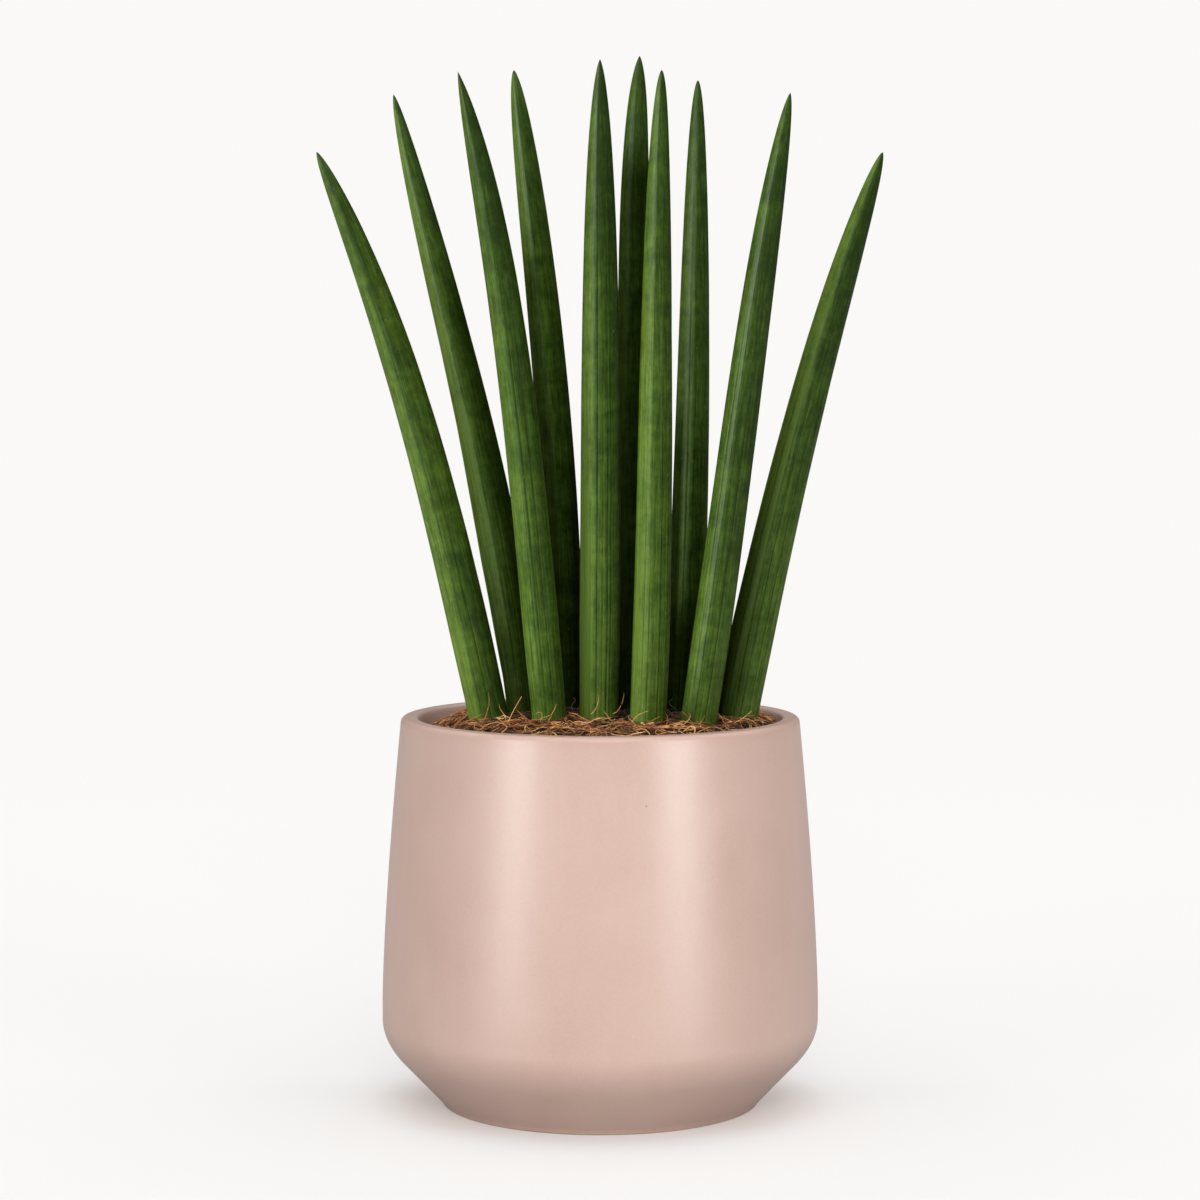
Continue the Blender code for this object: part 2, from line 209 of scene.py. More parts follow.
def ring_faces(rings, sides, first=0, flip=False):
    """Quads between successive rings that close round."""
    i = np.arange(rings - 1)[:, None]
    j = np.arange(sides)[None, :]
    k = (j + 1) % sides
    a, b = first + i * sides + j, first + i * sides + k
    c, d = first + (i + 1) * sides + k, first + (i + 1) * sides + j
    quads = np.stack([a, b, c, d], -1).reshape(-1, 4)
    return (quads[:, ::-1] if flip else quads).tolist()


def smooth_noise(x, seed, octaves=3):
    """A smooth repeatable wobble in about -1..1 from sines that don't repeat."""
    x = np.asarray(x, float)
    total, weight, size = 0.0, 1.0, 0.0
    for k in range(octaves):
        a, b = 1.0 + 0.37 * math.sin(seed * 1.3 + k), 6.28 * math.sin(seed * 7.7 + 3.1 * k)
        total = total + weight * np.sin(x * a + b) * np.cos(x * 0.618 * a - b * 1.7)
        size += weight
        weight *= 0.55
        x = x * 2.17
    return total / size


# -------------------------------------------------------------- node helper
class Nodes:
    """Short ways to add and join shader nodes."""

    def __init__(self, tree):
        self.tree = tree

    def add(self, kind, **settings):
        node = self.tree.nodes.new(kind)
        for key, value in settings.items():
            setattr(node, key, value)
        return node

    def plug(self, value, socket):
        if isinstance(value, bpy.types.NodeSocket):
            self.tree.links.new(value, socket)
        else:
            socket.default_value = value

    def math(self, operation, a, b=0.0, c=None, clamp=False):
        node = self.add("ShaderNodeMath", operation=operation, use_clamp=clamp)
        self.plug(a, node.inputs[0])
        self.plug(b, node.inputs[1])
        if c is not None:
            self.plug(c, node.inputs[2])
        return node.outputs[0]

    def vmath(self, operation, a, b=(0, 0, 0)):
        node = self.add("ShaderNodeVectorMath", operation=operation)
        self.plug(a, node.inputs[0])
        self.plug(b, node.inputs[1])
        return node.outputs["Value"] if operation in ("DOT_PRODUCT", "LENGTH") else node.outputs["Vector"]

    def range(self, value, lo, hi, to_lo=0.0, to_hi=1.0, kind="LINEAR"):
        node = self.add("ShaderNodeMapRange", interpolation_type=kind)
        for socket, item in zip(node.inputs, (value, lo, hi, to_lo, to_hi)):
            self.plug(item, socket)
        return node.outputs["Result"]

    def mix(self, share, a, b, kind="MIX"):
        node = self.add("ShaderNodeMix", data_type="RGBA", blend_type=kind)
        self.plug(share, node.inputs["Factor"])
        self.plug(rgba(a), node.inputs["A"])
        self.plug(rgba(b), node.inputs["B"])
        return node.outputs["Result"]

    def noise(self, vector, scale, detail=3.0, rough=0.5, distort=0.0):
        node = self.add("ShaderNodeTexNoise")
        self.plug(vector, node.inputs["Vector"])
        for key, item in (("Scale", scale), ("Detail", detail), ("Roughness", rough),
                          ("Distortion", distort)):
            node.inputs[key].default_value = item
        return node.outputs["Fac"]

    def voronoi(self, vector, scale, feature="F1", output="Distance"):
        node = self.add("ShaderNodeTexVoronoi", feature=feature)
        self.plug(vector, node.inputs["Vector"])
        node.inputs["Scale"].default_value = scale
        return node.outputs[output]

    def scaled(self, vector, scale, shift=(0, 0, 0)):
        node = self.add("ShaderNodeMapping")
        self.plug(vector, node.inputs["Vector"])
        node.inputs["Scale"].default_value = scale
        node.inputs["Location"].default_value = shift
        return node.outputs["Vector"]

    def attribute(self, name, output="Fac"):
        node = self.add("ShaderNodeAttribute", attribute_type="GEOMETRY", attribute_name=name)
        return node.outputs[output]

    def ramp(self, value, stops):
        node = self.add("ShaderNodeValToRGB")
        self.plug(value, node.inputs["Fac"])
        items = node.color_ramp.elements
        while len(items) < len(stops):
            items.new(0.5)
        for item, (place, colour) in zip(items, stops):
            item.position = place
            item.color = rgba(colour)
        return node.outputs["Color"]

    def bump(self, height, strength, distance, normal=None):
        node = self.add("ShaderNodeBump")
        node.inputs["Strength"].default_value = strength
        node.inputs["Distance"].default_value = distance
        self.plug(height, node.inputs["Height"])
        if normal is not None:
            self.plug(normal, node.inputs["Normal"])
        return node.outputs["Normal"]


def rgba(value):
    if isinstance(value, (tuple, list)) and len(value) == 3:
        return (*value, 1.0)
    return value


def srgb(r, g, b):
    """A linear colour from 0-255 display values."""
    def one(v):
        v /= 255.0
        return v / 12.92 if v <= 0.04045 else ((v + 0.055) / 1.055) ** 2.4
    return (one(r), one(g), one(b))


def new_material(name):
    mat = bpy.data.materials.new(name)
    mat.use_nodes = True
    shader = mat.node_tree.nodes["Principled BSDF"]
    return mat, Nodes(mat.node_tree), shader


# ---------------------------------------------------------------- materials
def glaze_material():
    """Dusty-rose satin glaze: faint clouding, fine grain, a few pin holes, and
    a browner tone where it runs thin over the lip and the foot."""
    mat, n, shader = new_material("pot_glaze")
    here = n.add("ShaderNodeTexCoord").outputs["Object"]
    cloud = n.noise(here, 16.0, 4.0, 0.55, 0.3)
    grain = n.noise(here, 900.0, 3.0, 0.6)
    fleck = n.noise(here, 2600.0, 2.0, 0.5)
    streak = n.noise(n.scaled(here, (70.0, 70.0, 9.0)), 1.0, 3.0, 0.5)
    tone = n.math("ADD", n.math("MULTIPLY", cloud, 0.55), n.math("MULTIPLY", streak, 0.20))
    tone = n.math("ADD", tone, n.math("MULTIPLY", grain, 0.25))
    colour = n.ramp(tone, ((0.30, POT_DEEP), (0.50, POT_MAIN), (0.72, POT_PALE)))
    specks = n.range(fleck, 0.70, 0.78, 0.0, 0.35)
    colour = n.mix(specks, colour, POT_SPECK)
    # painted light: the upper inner wall is lightened
    colour = n.mix(n.attribute("glaze_inside_light"), colour, n.mix(1.0, colour, POT_INSIDE_LIGHT, "MULTIPLY"))
    edge = n.attribute("thin_glaze")
    colour = n.mix(n.math("MULTIPLY", edge, 0.42), colour, POT_THIN)
    holes = n.voronoi(here, 105.0)
    pick = n.add("ShaderNodeTexVoronoi", feature="F1")
    n.plug(here, pick.inputs["Vector"])
    pick.inputs["Scale"].default_value = 105.0
    chosen = n.range(n.math("MULTIPLY", pick.outputs["Color"], 1.0), 0.90, 0.93, 0.0, 1.0)
    pin = n.math("MULTIPLY", n.range(holes, 0.035, 0.060, 1.0, 0.0), chosen)
    colour = n.mix(n.math("MULTIPLY", pin, 0.55), colour, POT_PIN)
    n.plug(colour, shader.inputs["Base Color"])
    rough = n.range(n.math("ADD", n.math("MULTIPLY", cloud, 0.6), n.math("MULTIPLY", grain, 0.4)),
                    0.3, 0.7, POT_ROUGH - 0.035, POT_ROUGH + 0.045)
    n.plug(rough, shader.inputs["Roughness"])
    shader.inputs["Specular IOR Level"].default_value = POT_SPECULAR
    first = n.bump(n.noise(here, 120.0, 2.0, 0.5), 0.10, 0.0004)
    second = n.bump(grain, 0.16, 0.00012, first)
    n.plug(n.bump(n.math("MULTIPLY", pin, -1.0), 0.5, 0.0004, second), shader.inputs["Normal"])
    return mat


def clay_material():
    """Unglazed clay on the foot ring and underside."""
    mat, n, shader = new_material("pot_bare_clay")
    here = n.add("ShaderNodeTexCoord").outputs["Object"]
    cloud = n.noise(here, 60.0, 4.0, 0.6)
    grit = n.noise(here, 1400.0, 2.0, 0.6)
    colour = n.ramp(cloud, ((0.32, srgb(168, 140, 120)), (0.55, srgb(196, 170, 148)),
                            (0.75, srgb(208, 184, 164))))
    colour = n.mix(n.range(grit, 0.58, 0.70, 0.0, 0.5), colour, srgb(150, 120, 100))
    n.plug(colour, shader.inputs["Base Color"])
    n.plug(n.range(grit, 0.3, 0.7, 0.72, 0.92), shader.inputs["Roughness"])
    n.plug(n.bump(grit, 0.5, 0.0002), shader.inputs["Normal"])
    return mat


def leaf_material(name, style):
    """Leaf skin: soft cross bands, long stripes and fine lines, painted shade in
    the grooves, the channel and within the clump, painted light on the left
    flank, brown channel margins and a brown point."""
    mat, n, shader = new_material(name)
    place = n.attribute("leaf_place", "Vector")      # straightened leaf, in mm
    shift = (style["seed"] * 3.1, style["seed"] * 1.7, style["seed"] * 5.3)

    bands = n.noise(n.scaled(place, (0.022, 0.022, 0.075), shift), 1.0, 3.0, 0.62, 0.5)
    patches = n.noise(n.scaled(place, (0.21, 0.21, 0.15), shift), 1.0, 3.0, 0.64, 0.5)
    stripes = n.noise(n.scaled(place, (0.46, 0.46, 0.006), shift), 1.0, 2.0, 0.6)
    streaks = n.noise(n.scaled(place, (0.95, 0.95, 0.075), shift), 1.0, 3.0, 0.6, 0.3)
    lines = n.noise(n.scaled(place, (1.9, 1.9, 0.042), shift), 1.0, 2.0, 0.55)
    hairs = n.noise(n.scaled(place, (6.0, 6.0, 0.24), shift), 1.0, 1.0, 0.5)
    pores = n.noise(n.scaled(place, (3.2, 3.2, 1.7), shift), 1.0, 2.0, 0.6)
    clouds = n.noise(n.scaled(place, (0.30, 0.30, 0.42), shift), 1.0, 2.0, 0.55, 0.4)

    tone = style["light"]
    for item, weight in ((bands, 0.92), (patches, 0.78), (stripes, 0.58), (streaks, 0.92),
                         (lines, 0.70), (hairs, 0.36), (pores, 0.48), (clouds, 0.42)):
        tone = n.math("ADD", tone, n.math("MULTIPLY", n.math("SUBTRACT", item, 0.5), weight))
    flank_light = n.attribute("leaf_flank_light")                # painted light: 1 on the lit left flank, -1 on the shaded right
    tone = n.math("ADD", tone, n.math("MULTIPLY", n.math("MAXIMUM", flank_light, 0.0), LEAF_FLANK_LIGHT))
    tone = n.math("ADD", tone, n.math("MULTIPLY", n.math("MINIMUM", flank_light, 0.0), LEAF_FLANK_SHADE))
    above = n.attribute("leaf_above")                # mm over the coir
    # painted light: lighter low down, where the clump shades the foot
    tone = n.math("ADD", tone, n.range(above, -20.0, 190.0, style["low"], 0.0))
    tone = n.math("ADD", tone, n.range(above, 130.0, 235.0, 0.0, style.get("top", 0.0), "SMOOTHSTEP"))
    # painted light and shade on the left flank (rim) and the right side (lee), by height
    rim, lee = style.get("rim", (0.0, 0.0)), style.get("lee", (0.0, 0.0))
    for side, (foot, head) in ((n.math("MAXIMUM", flank_light, 0.0), rim), (n.attribute("leaf_lee"), lee)):
        tone = n.math("ADD", tone, n.math("MULTIPLY", side, n.range(above, 10.0, 115.0, foot, head, "SMOOTHSTEP")))
    tip = n.attribute("leaf_tip")                    # mm from the point
    tone = n.math("SUBTRACT", tone, n.range(tip, 30.0, 130.0, 0.13, 0.0, "SMOOTHSTEP"))
    colour = n.ramp(tone, ((0.0, LEAF_DARKEST), (0.25, LEAF_DARK), (0.50, LEAF_MID), (0.75, LEAF_PALE),
                           (1.0, LEAF_PALEST)))
    warm = n.noise(n.scaled(place, (0.11, 0.11, 0.040), (shift[2], shift[0], shift[1])), 1.0, 2.0, 0.5)
    # the lit left edge is painted yellower
    warm = n.math("MULTIPLY", n.range(warm, 0.38, 0.66, 0.15, 1.0),
                  n.math("ADD", style["yellow"], n.math("MULTIPLY", n.attribute("leaf_lit_edge"), 0.45)), clamp=True)
    colour = n.mix(warm, colour, n.mix(1.0, colour, LEAF_YELLOW, "MULTIPLY"))

    # painted shade darkens the grooves
    groove = n.attribute("leaf_groove")
    colour = n.mix(n.math("MULTIPLY", groove, 0.90), colour, n.mix(1.0, colour, LEAF_GROOVE_SHADE, "MULTIPLY"))
    # painted shade in the channel's hollow
    channel = n.attribute("leaf_channel")
    colour = n.mix(n.math("MULTIPLY", channel, 0.35), colour, LEAF_DARK)
    margin = n.attribute("leaf_margin")
    fade = n.range(n.noise(n.scaled(place, (0.1, 0.1, 0.05), shift), 1.0, 2.0), 0.3, 0.6, 0.45, 1.0)
    colour = n.mix(n.math("MULTIPLY", margin, fade), colour, LEAF_MARGIN)

    dots = n.add("ShaderNodeTexVoronoi", feature="F1")
    n.plug(n.scaled(place, (0.30, 0.30, 0.13), shift), dots.inputs["Vector"])
    dots.inputs["Scale"].default_value = 1.0
    speck = n.math("MULTIPLY", n.range(dots.outputs["Distance"], 0.045, 0.085, 1.0, 0.0),
                   n.range(dots.outputs["Color"], 0.78, 0.80, 0.0, 1.0))
    colour = n.mix(n.math("MULTIPLY", speck, 0.55), colour, LEAF_SPECK)

    browned = n.range(n.math("ADD", tip, n.math("MULTIPLY", bands, 1.2)), 1.2, 3.0, 1.0, 0.0, "SMOOTHSTEP")
    colour = n.mix(browned, colour, LEAF_POINT)
    base = n.range(n.math("ADD", above, n.math("MULTIPLY", patches, 8.0)), 1.0, 12.0, 0.30, 0.0, "SMOOTHSTEP")
    colour = n.mix(base, colour, LEAF_BASE)
    deep = n.attribute("leaf_painted_shade")                 # painted shade: skin within the clump is darker
    colour = n.mix(1.0, colour, deep, "MULTIPLY")
    n.plug(colour, shader.inputs["Base Color"])

    rough = n.math("ADD", n.range(patches, 0.3, 0.7, LEAF_ROUGH - 0.04, LEAF_ROUGH + 0.05),
                   n.math("MULTIPLY", groove, 0.15))
    n.plug(rough, shader.inputs["Roughness"])
    # the painted shade dims the sheen too
    sheen = n.math("MULTIPLY", n.math("MULTIPLY", deep, deep), n.attribute("leaf_sheen"))
    n.plug(n.math("MULTIPLY", sheen, LEAF_SPECULAR), shader.inputs["Specular IOR Level"])
    relief = n.math("ADD", n.math("MULTIPLY", lines, 0.6), n.math("MULTIPLY", hairs, 0.4))
    first = n.bump(relief, 0.35, 0.00022)
    n.plug(n.bump(pores, 0.18, 0.00012, first), shader.inputs["Normal"])
    return mat


def fibre_material():
    mat, n, shader = new_material("coir_fibre")
    tone = n.attribute("fibre_tone")
    here = n.add("ShaderNodeTexCoord").outputs["Object"]
    vary = n.noise(here, 420.0, 2.0, 0.5)
    tone = n.math("ADD", tone, n.math("MULTIPLY", n.math("SUBTRACT", vary, 0.5), 0.5))
    colour = n.ramp(tone, ((0.0, COIR_DARK), (0.35, COIR_MID), (0.70, COIR_WARM), (1.0, COIR_PALE)))
    colour = n.mix(1.0, colour, n.attribute("fibre_painted_shade"), "MULTIPLY")
    n.plug(colour, shader.inputs["Base Color"])
    n.plug(n.range(vary, 0.3, 0.7, 0.62, 0.80), shader.inputs["Roughness"])
    n.plug(n.bump(n.noise(here, 2600.0, 2.0, 0.5), 0.4, 0.0001), shader.inputs["Normal"])
    return mat


def bed_material():
    """The matted bed under the loose fibres: lighter strands, and near-black gaps that are painted shade under the
    fibres.
    """
    mat, n, shader = new_material("coir_bed")
    here = n.add("ShaderNodeTexCoord").outputs["Object"]
    clumps = n.noise(here, 190.0, 3.0, 0.6, 0.6)
    strands = n.noise(n.scaled(here, (900.0, 260.0, 400.0)), 1.0, 3.0, 0.6, 1.5)
    cross = n.noise(n.scaled(here, (240.0, 980.0, 400.0)), 1.0, 3.0, 0.6, 1.5)
    both = n.math("MAXIMUM", strands, cross)
    tone = n.math("ADD", n.math("MULTIPLY", clumps, 0.5), n.math("MULTIPLY", both, 0.6))
    # near-black tones paint the shade in the gaps
    colour = n.ramp(tone, ((0.42, srgb(18, 9, 4)), (0.60, srgb(48, 26, 12)), (0.78, srgb(96, 58, 29))))
    colour = n.mix(1.0, colour, n.attribute("fibre_painted_shade"), "MULTIPLY")
    n.plug(colour, shader.inputs["Base Color"])
    n.plug(n.range(clumps, 0.3, 0.7, 0.80, 0.95), shader.inputs["Roughness"])
    n.plug(n.bump(both, 0.9, 0.0008), shader.inputs["Normal"])
    return mat


def mix_material():
    """Potting mix: dark peat with bark and white perlite."""
    mat, n, shader = new_material("potting_mix")
    here = n.add("ShaderNodeTexCoord").outputs["Object"]
    peat = n.noise(here, 240.0, 4.0, 0.65, 0.4)
    chips = n.voronoi(here, 210.0, output="Color")
    cells = n.voronoi(here, 210.0)
    colour = n.ramp(peat, ((0.30, srgb(28, 20, 14)), (0.52, srgb(58, 42, 30)), (0.75, srgb(92, 68, 48))))
    colour = n.mix(n.math("MULTIPLY", n.range(chips, 0.70, 0.72), 0.6), colour, srgb(104, 70, 44))
    white = n.math("MULTIPLY", n.range(chips, 0.13, 0.11), n.range(cells, 0.30, 0.24))
    colour = n.mix(white, colour, srgb(214, 210, 200))
    n.plug(colour, shader.inputs["Base Color"])
    n.plug(n.range(peat, 0.3, 0.7, 0.85, 0.98), shader.inputs["Roughness"])
    n.plug(n.bump(n.math("ADD", peat, cells), 0.9, 0.0015), shader.inputs["Normal"])
    return mat


def rhizome_material():
    """Orange-brown creeping stem with paler rings at its joints."""
    mat, n, shader = new_material("rhizome_skin")
    here = n.add("ShaderNodeTexCoord").outputs["Object"]
    cloud = n.noise(here, 130.0, 4.0, 0.6, 0.3)
    wave = n.add("ShaderNodeTexWave", wave_type="BANDS", bands_direction="X")
    n.plug(here, wave.inputs["Vector"])
    wave.inputs["Scale"].default_value = 36.0
    wave.inputs["Distortion"].default_value = 3.0
    rings = wave.outputs["Fac"]
    colour = n.ramp(cloud, ((0.30, srgb(132, 84, 40)), (0.52, srgb(186, 128, 66)), (0.75, srgb(214, 168, 104))))
    colour = n.mix(n.range(rings, 0.86, 0.97, 0.0, 0.55), colour, srgb(228, 200, 150))
    n.plug(colour, shader.inputs["Base Color"])
    n.plug(n.range(cloud, 0.3, 0.7, 0.55, 0.78), shader.inputs["Roughness"])
    n.plug(n.bump(n.math("ADD", cloud, n.math("MULTIPLY", rings, 0.5)), 0.6, 0.0006), shader.inputs["Normal"])
    return mat


# Colours and finish.
POT_MAIN = srgb(184, 157, 146)
POT_PALE = srgb(190, 164, 153)
POT_DEEP = srgb(177, 149, 138)
POT_SPECK = srgb(172, 138, 124)
POT_THIN = srgb(168, 134, 118)
POT_PIN = srgb(110, 84, 72)
POT_INSIDE_LIGHT = (1.85, 1.70, 1.62)           # painted light on the shaded inner wall, by multiplying
POT_ROUGH = 0.36
POT_SPECULAR = 0.56

LEAF_DARKEST = (0.0195, 0.0470, 0.0050)
LEAF_DARK = (0.0335, 0.0750, 0.0068)
LEAF_MID = (0.0560, 0.1150, 0.0118)
LEAF_PALE = (0.0830, 0.1600, 0.0190)
LEAF_PALEST = (0.1200, 0.2150, 0.0300)
LEAF_YELLOW = (1.22, 1.02, 0.72)          # tints by multiplying
# painted shade in the grooves, by multiplying
LEAF_GROOVE_SHADE = (0.36, 0.44, 0.46)
LEAF_MARGIN = srgb(112, 84, 56)
LEAF_SPECK = srgb(150, 160, 104)
LEAF_POINT = srgb(58, 46, 28)
LEAF_BASE = srgb(92, 118, 58)
LEAF_ROUGH = 0.36
LEAF_SPECULAR = 0.20
# painted light on the left flank, painted shade on the right side
LEAF_FLANK_LIGHT = 0.32
LEAF_FLANK_SHADE = 0.02

COIR_DARK = srgb(74, 39, 15)
COIR_MID = srgb(140, 82, 39)
COIR_WARM = srgb(198, 130, 70)
COIR_PALE = srgb(246, 196, 136)


# ---------------------------------------------------------------------- pot
def arc(cx, cz, radius, start, end, count):
    return [(cx + radius * math.cos(math.radians(start + (end - start) * i / count)),
             cz + radius * math.sin(math.radians(start + (end - start) * i / count)))
            for i in range(count + 1)]


def build_pot():
    """The turned pot: closed profile, down the outside and up the inside."""
    top = POT_HEIGHT
    lip_z = top - LIP_OUTER_ROUND
    lip_r = outer_radius(lip_z)
    outer = arc(lip_r - LIP_OUTER_ROUND, lip_z, LIP_OUTER_ROUND, 90, 0, 10)
    heights = list(np.linspace(160.5, 60.0, 28)) + list(np.linspace(57.0, 19.0, 34)) + \
        list(np.linspace(17.0, 2.6, 9))
    outer += [(outer_radius(z), float(z)) for z in heights]
    foot = arc(outer_radius(FOOT_ROUND) - FOOT_ROUND, FOOT_ROUND, FOOT_ROUND, -10, -90, 7)
    ring = FOOT_RADIUS - FOOT_RING_WIDTH
    under = [(ring + 6.0, 0.0), (ring + 3.0, 0.0)]
    under += arc(ring + 0.6, 0.6, 0.6, -90, -150, 3)
    under += arc(ring - 2.6 + 0.3, FOOT_RECESS - 0.9, 0.9, 30, 90, 3)
    under += [(r, FOOT_RECESS) for r in (50.0, 40.0, 30.0, 20.0, DRAIN_RADIUS + 3.0)]
    under += arc(DRAIN_RADIUS + 0.8, FOOT_RECESS + 0.8, 0.8, -90, -180, 4)
    under += arc(DRAIN_RADIUS + 0.8, FLOOR_Z - 0.8, 0.8, 180, 90, 4)
    under += [(r, FLOOR_Z) for r in (18.0, 30.0, 42.0, 54.0)]
    corner = inner_radius(FLOOR_Z + 6)
    inner = arc(corner - 8.0, FLOOR_Z + 8.0, 8.0, -90, -42, 6)
    inner += [(inner_radius(z), float(z)) for z in np.linspace(30.0, 158.0, 30)]
    mouth = inner_radius(top - 3)
    inner += arc(mouth + LIP_INNER_ROUND, top - LIP_INNER_ROUND, LIP_INNER_ROUND, 180, 90, 8)
    profile = np.array(outer + foot + under + inner)
    keep = np.ones(len(profile), bool)
    keep[1:] = np.linalg.norm(np.diff(profile, axis=0), axis=1) > 0.02
    profile = profile[keep]
    count, steps = len(profile), 224
    turn = np.linspace(0, 2 * math.pi, steps, endpoint=False)
    r, z = profile[:, :1], profile[:, 1:]
    points = np.stack([r * np.cos(turn), r * np.sin(turn), np.broadcast_to(z, (count, steps))], -1)
    quads = []
    bare = []
    for i in range(count):
        j = (i + 1) % count
        mid_r, mid_z = (profile[i] + profile[j]) / 2
        clay = mid_z < FLOOR_Z - 0.4 and mid_r < FOOT_RADIUS - 0.5 and mid_z <= FOOT_RECESS + 0.3
        a = i * steps + np.arange(steps)
        b = i * steps + (np.arange(steps) + 1) % steps
        c = j * steps + (np.arange(steps) + 1) % steps
        d = j * steps + np.arange(steps)
        quads += np.stack([a, d, c, b], -1).tolist()
        bare += [1 if clay else 0] * steps
    obj = make_object("glazed_pot", points.reshape(-1, 3), quads, (glaze_material(), clay_material()),
                      indices=bare)
    lip = np.exp(-((np.hypot(profile[:, 0] - (lip_r - 1.2), profile[:, 1] - (top - 0.6))) / 2.6) ** 2)
    thin = np.maximum(lip * 0.75, np.exp(-(profile[:, 1] / 1.6) ** 2) * (profile[:, 0] > 60))
    add_number(obj, "thin_glaze", np.repeat(np.clip(thin, 0, 1), steps))
    # where painted light lightens the inner wall
    inner = np.clip((lip_r - 2.2 - profile[:, 0]) / 2.0, 0, 1) * np.clip((top - 0.8 - profile[:, 1]) / 1.5, 0, 1) \
        * (profile[:, 1] > 120)
    inner = inner * np.where(profile[:, 0] < 80.0, 1.0, 0.0)
    add_number(obj, "glaze_inside_light", np.repeat(inner, steps))
    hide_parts("pot")
    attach(obj, BODY)
    return obj


# ------------------------------------------------------------------- leaves
def groove_set(style):
    """All grooves round a leaf: the front ones as given, and the back ones
    spaced unevenly outside the channel."""
    out = [(float(a), d, h) for a, d, h in style["grooves"]]
    seed = style["seed"]
    channel = style["channel"]
    angle = max(a for a, _, _ in out)
    start = channel + 44.0
    end = 360.0 + min(a for a, _, _ in out)
    k = 0
    angle = start
    while angle < end - 9.0:
        out.append((angle, 0.55 + 0.4 * abs(math.sin(seed + k * 1.9)), 0.45 + 0.45 * abs(math.cos(seed * 2 + k))))
        angle += 15.0 + 7.0 * math.sin(seed * 1.7 + k * 2.3)
        k += 1
    return out


def flat_factor(theta, style):
    """Share of the full radius at each angle: a little flat between ridges."""
    first, second = style["ridges"]
    corners = [-152.0, -92.0, float(first), float(second), 80.0, 134.0, 172.0, 208.0]
    out = np.ones(len(theta))
    for a, b in zip(corners, corners[1:]):
        mid, half = (a + b) / 2, (b - a) / 2
        for turn in (0.0, 360.0):
            off = theta + turn - mid
            inside = np.abs(off) < half
            chord = np.cos(np.radians(half)) / np.cos(np.radians(np.clip(off, -half, half)))
            out = np.where(inside, 1 - LEAF_FLAT * (1 - chord), out)
    return out


def openness(spots, ways, heights, facing=None, without=None):
    """Share of the directions in which places look out past the leaves. ways
    are degrees from the front, facing is each place's outward direction."""
    seen, total = np.zeros(spots.shape[:-1]), np.zeros(spots.shape[:-1])
    u = np.linspace(0, 1, 401)
    for height in heights:
        for way in ways:
            a, e = math.radians(way), math.radians(height)
            ray = np.array([math.sin(a), -math.cos(a), math.tan(e)])
            weight = np.full(spots.shape[:-1], math.cos(e))
            if facing is not None:
                weight = np.maximum(facing @ (ray / np.linalg.norm(ray)), 0.0) * math.cos(e)
            clear = np.ones(spots.shape[:-1])
            for name, shape in LEAVES.items():
                if name == without:
                    continue
                line = leaf_point(shape, u)
                length = np.linalg.norm(line[-1] - line[0])
                z = spots[..., 2]
                for _ in range(3):
                    share = np.clip((z - LEAF_FOOT_Z) / (shape[4] - LEAF_FOOT_Z), 0, 1)
                    cx, cy = np.interp(share, u, line[:, 0]), np.interp(share, u, line[:, 1])
                    run = (cx - spots[..., 0]) * ray[0] + (cy - spots[..., 1]) * ray[1]
                    z = spots[..., 2] + np.maximum(run, 0) * ray[2]
                gap = np.hypot(cx - spots[..., 0] - run * ray[0], cy - spots[..., 1] - run * ray[1])
                wide = leaf_radius(shape, length * (1 - share), length)
                hit = np.clip((wide + 1.2 - gap) / 2.4, 0, 1) * (run > 0) * (z < shape[4])
                clear *= 1 - hit
            seen += weight * clear
            total += weight
    return np.clip(seen / np.maximum(total, 1e-6), 0.04, 1.0)


def painted_clump_shade(name, theta, from_tip, centre, front, right):
    """Painted shade on a leaf: how open each part is to front and back, past its neighbours."""
    picks = np.unique(np.linspace(0, len(from_tip) - 1, 44).astype(int))
    turn = np.radians(np.arange(0, 360, 10.0))
    radius = leaf_radius(LEAVES[name], from_tip, from_tip[-1])[picks]
    out = np.cos(turn)[None, :, None] * front[picks, None, :] + np.sin(turn)[None, :, None] * right[picks, None, :]
    spots = centre[picks, None, :] + out * radius[:, None, None]
    style = LEAF_STYLE[name]
    ways = (-25, -15, -5, 5, 15, 25, 155, 165, 175, 185, 195, 205)
    share = openness(spots, ways, (0.0, 15.0, 30.0, 45.0), out, name) ** style["deep"]
    # back to the leaf's own rings and sides
    grid = np.hstack([share, share[:, :1]])
    wheel = np.arange(0, 361, 10.0)
    rows = np.stack([np.interp(theta % 360.0, wheel, row) for row in grid])
    share = np.stack([np.interp(from_tip, from_tip[picks], rows[:, j]) for j in range(len(theta))], 1)
    # painted shade where a neighbour stands hard by, in mm of height
    masks = {"front": 1 / (1 + np.exp((np.abs(theta) - 98.0) / 6.0)),
             "left": 1 / (1 + np.exp((theta + 12.0) / 4.0)) / (1 + np.exp((-104.0 - theta) / 5.0)),
             "edge": 1 / (1 + np.exp((theta + 34.0) / 4.0)) / (1 + np.exp((-104.0 - theta) / 5.0)),
             "right": 1 / (1 + np.exp((6.0 - theta) / 7.0)) / (1 + np.exp((theta - 104.0) / 5.0))}
    for side, low, high, left in style.get("neighbour_shade", ()):
        part = np.clip((high - centre[:, 2]) / (high - low), 0, 1)
        part = part * part * (3 - 2 * part)
        share = share * (1 - (1 - left) * part[:, None] * masks[side][None, :])
    return share


def leaf_stations(length):
    """Distances from the point where the leaf's rings lie."""
    out = [0.0, 0.2, 0.5, 0.9, 1.5, 2.2, 3.1, 4.2, 5.5]
    step = 1.5
    while out[-1] + step < length - 1.2:
        out.append(out[-1] + step)
        step = min(step + 0.04, 2.3)
    return np.array(out + [length - 0.5, length])


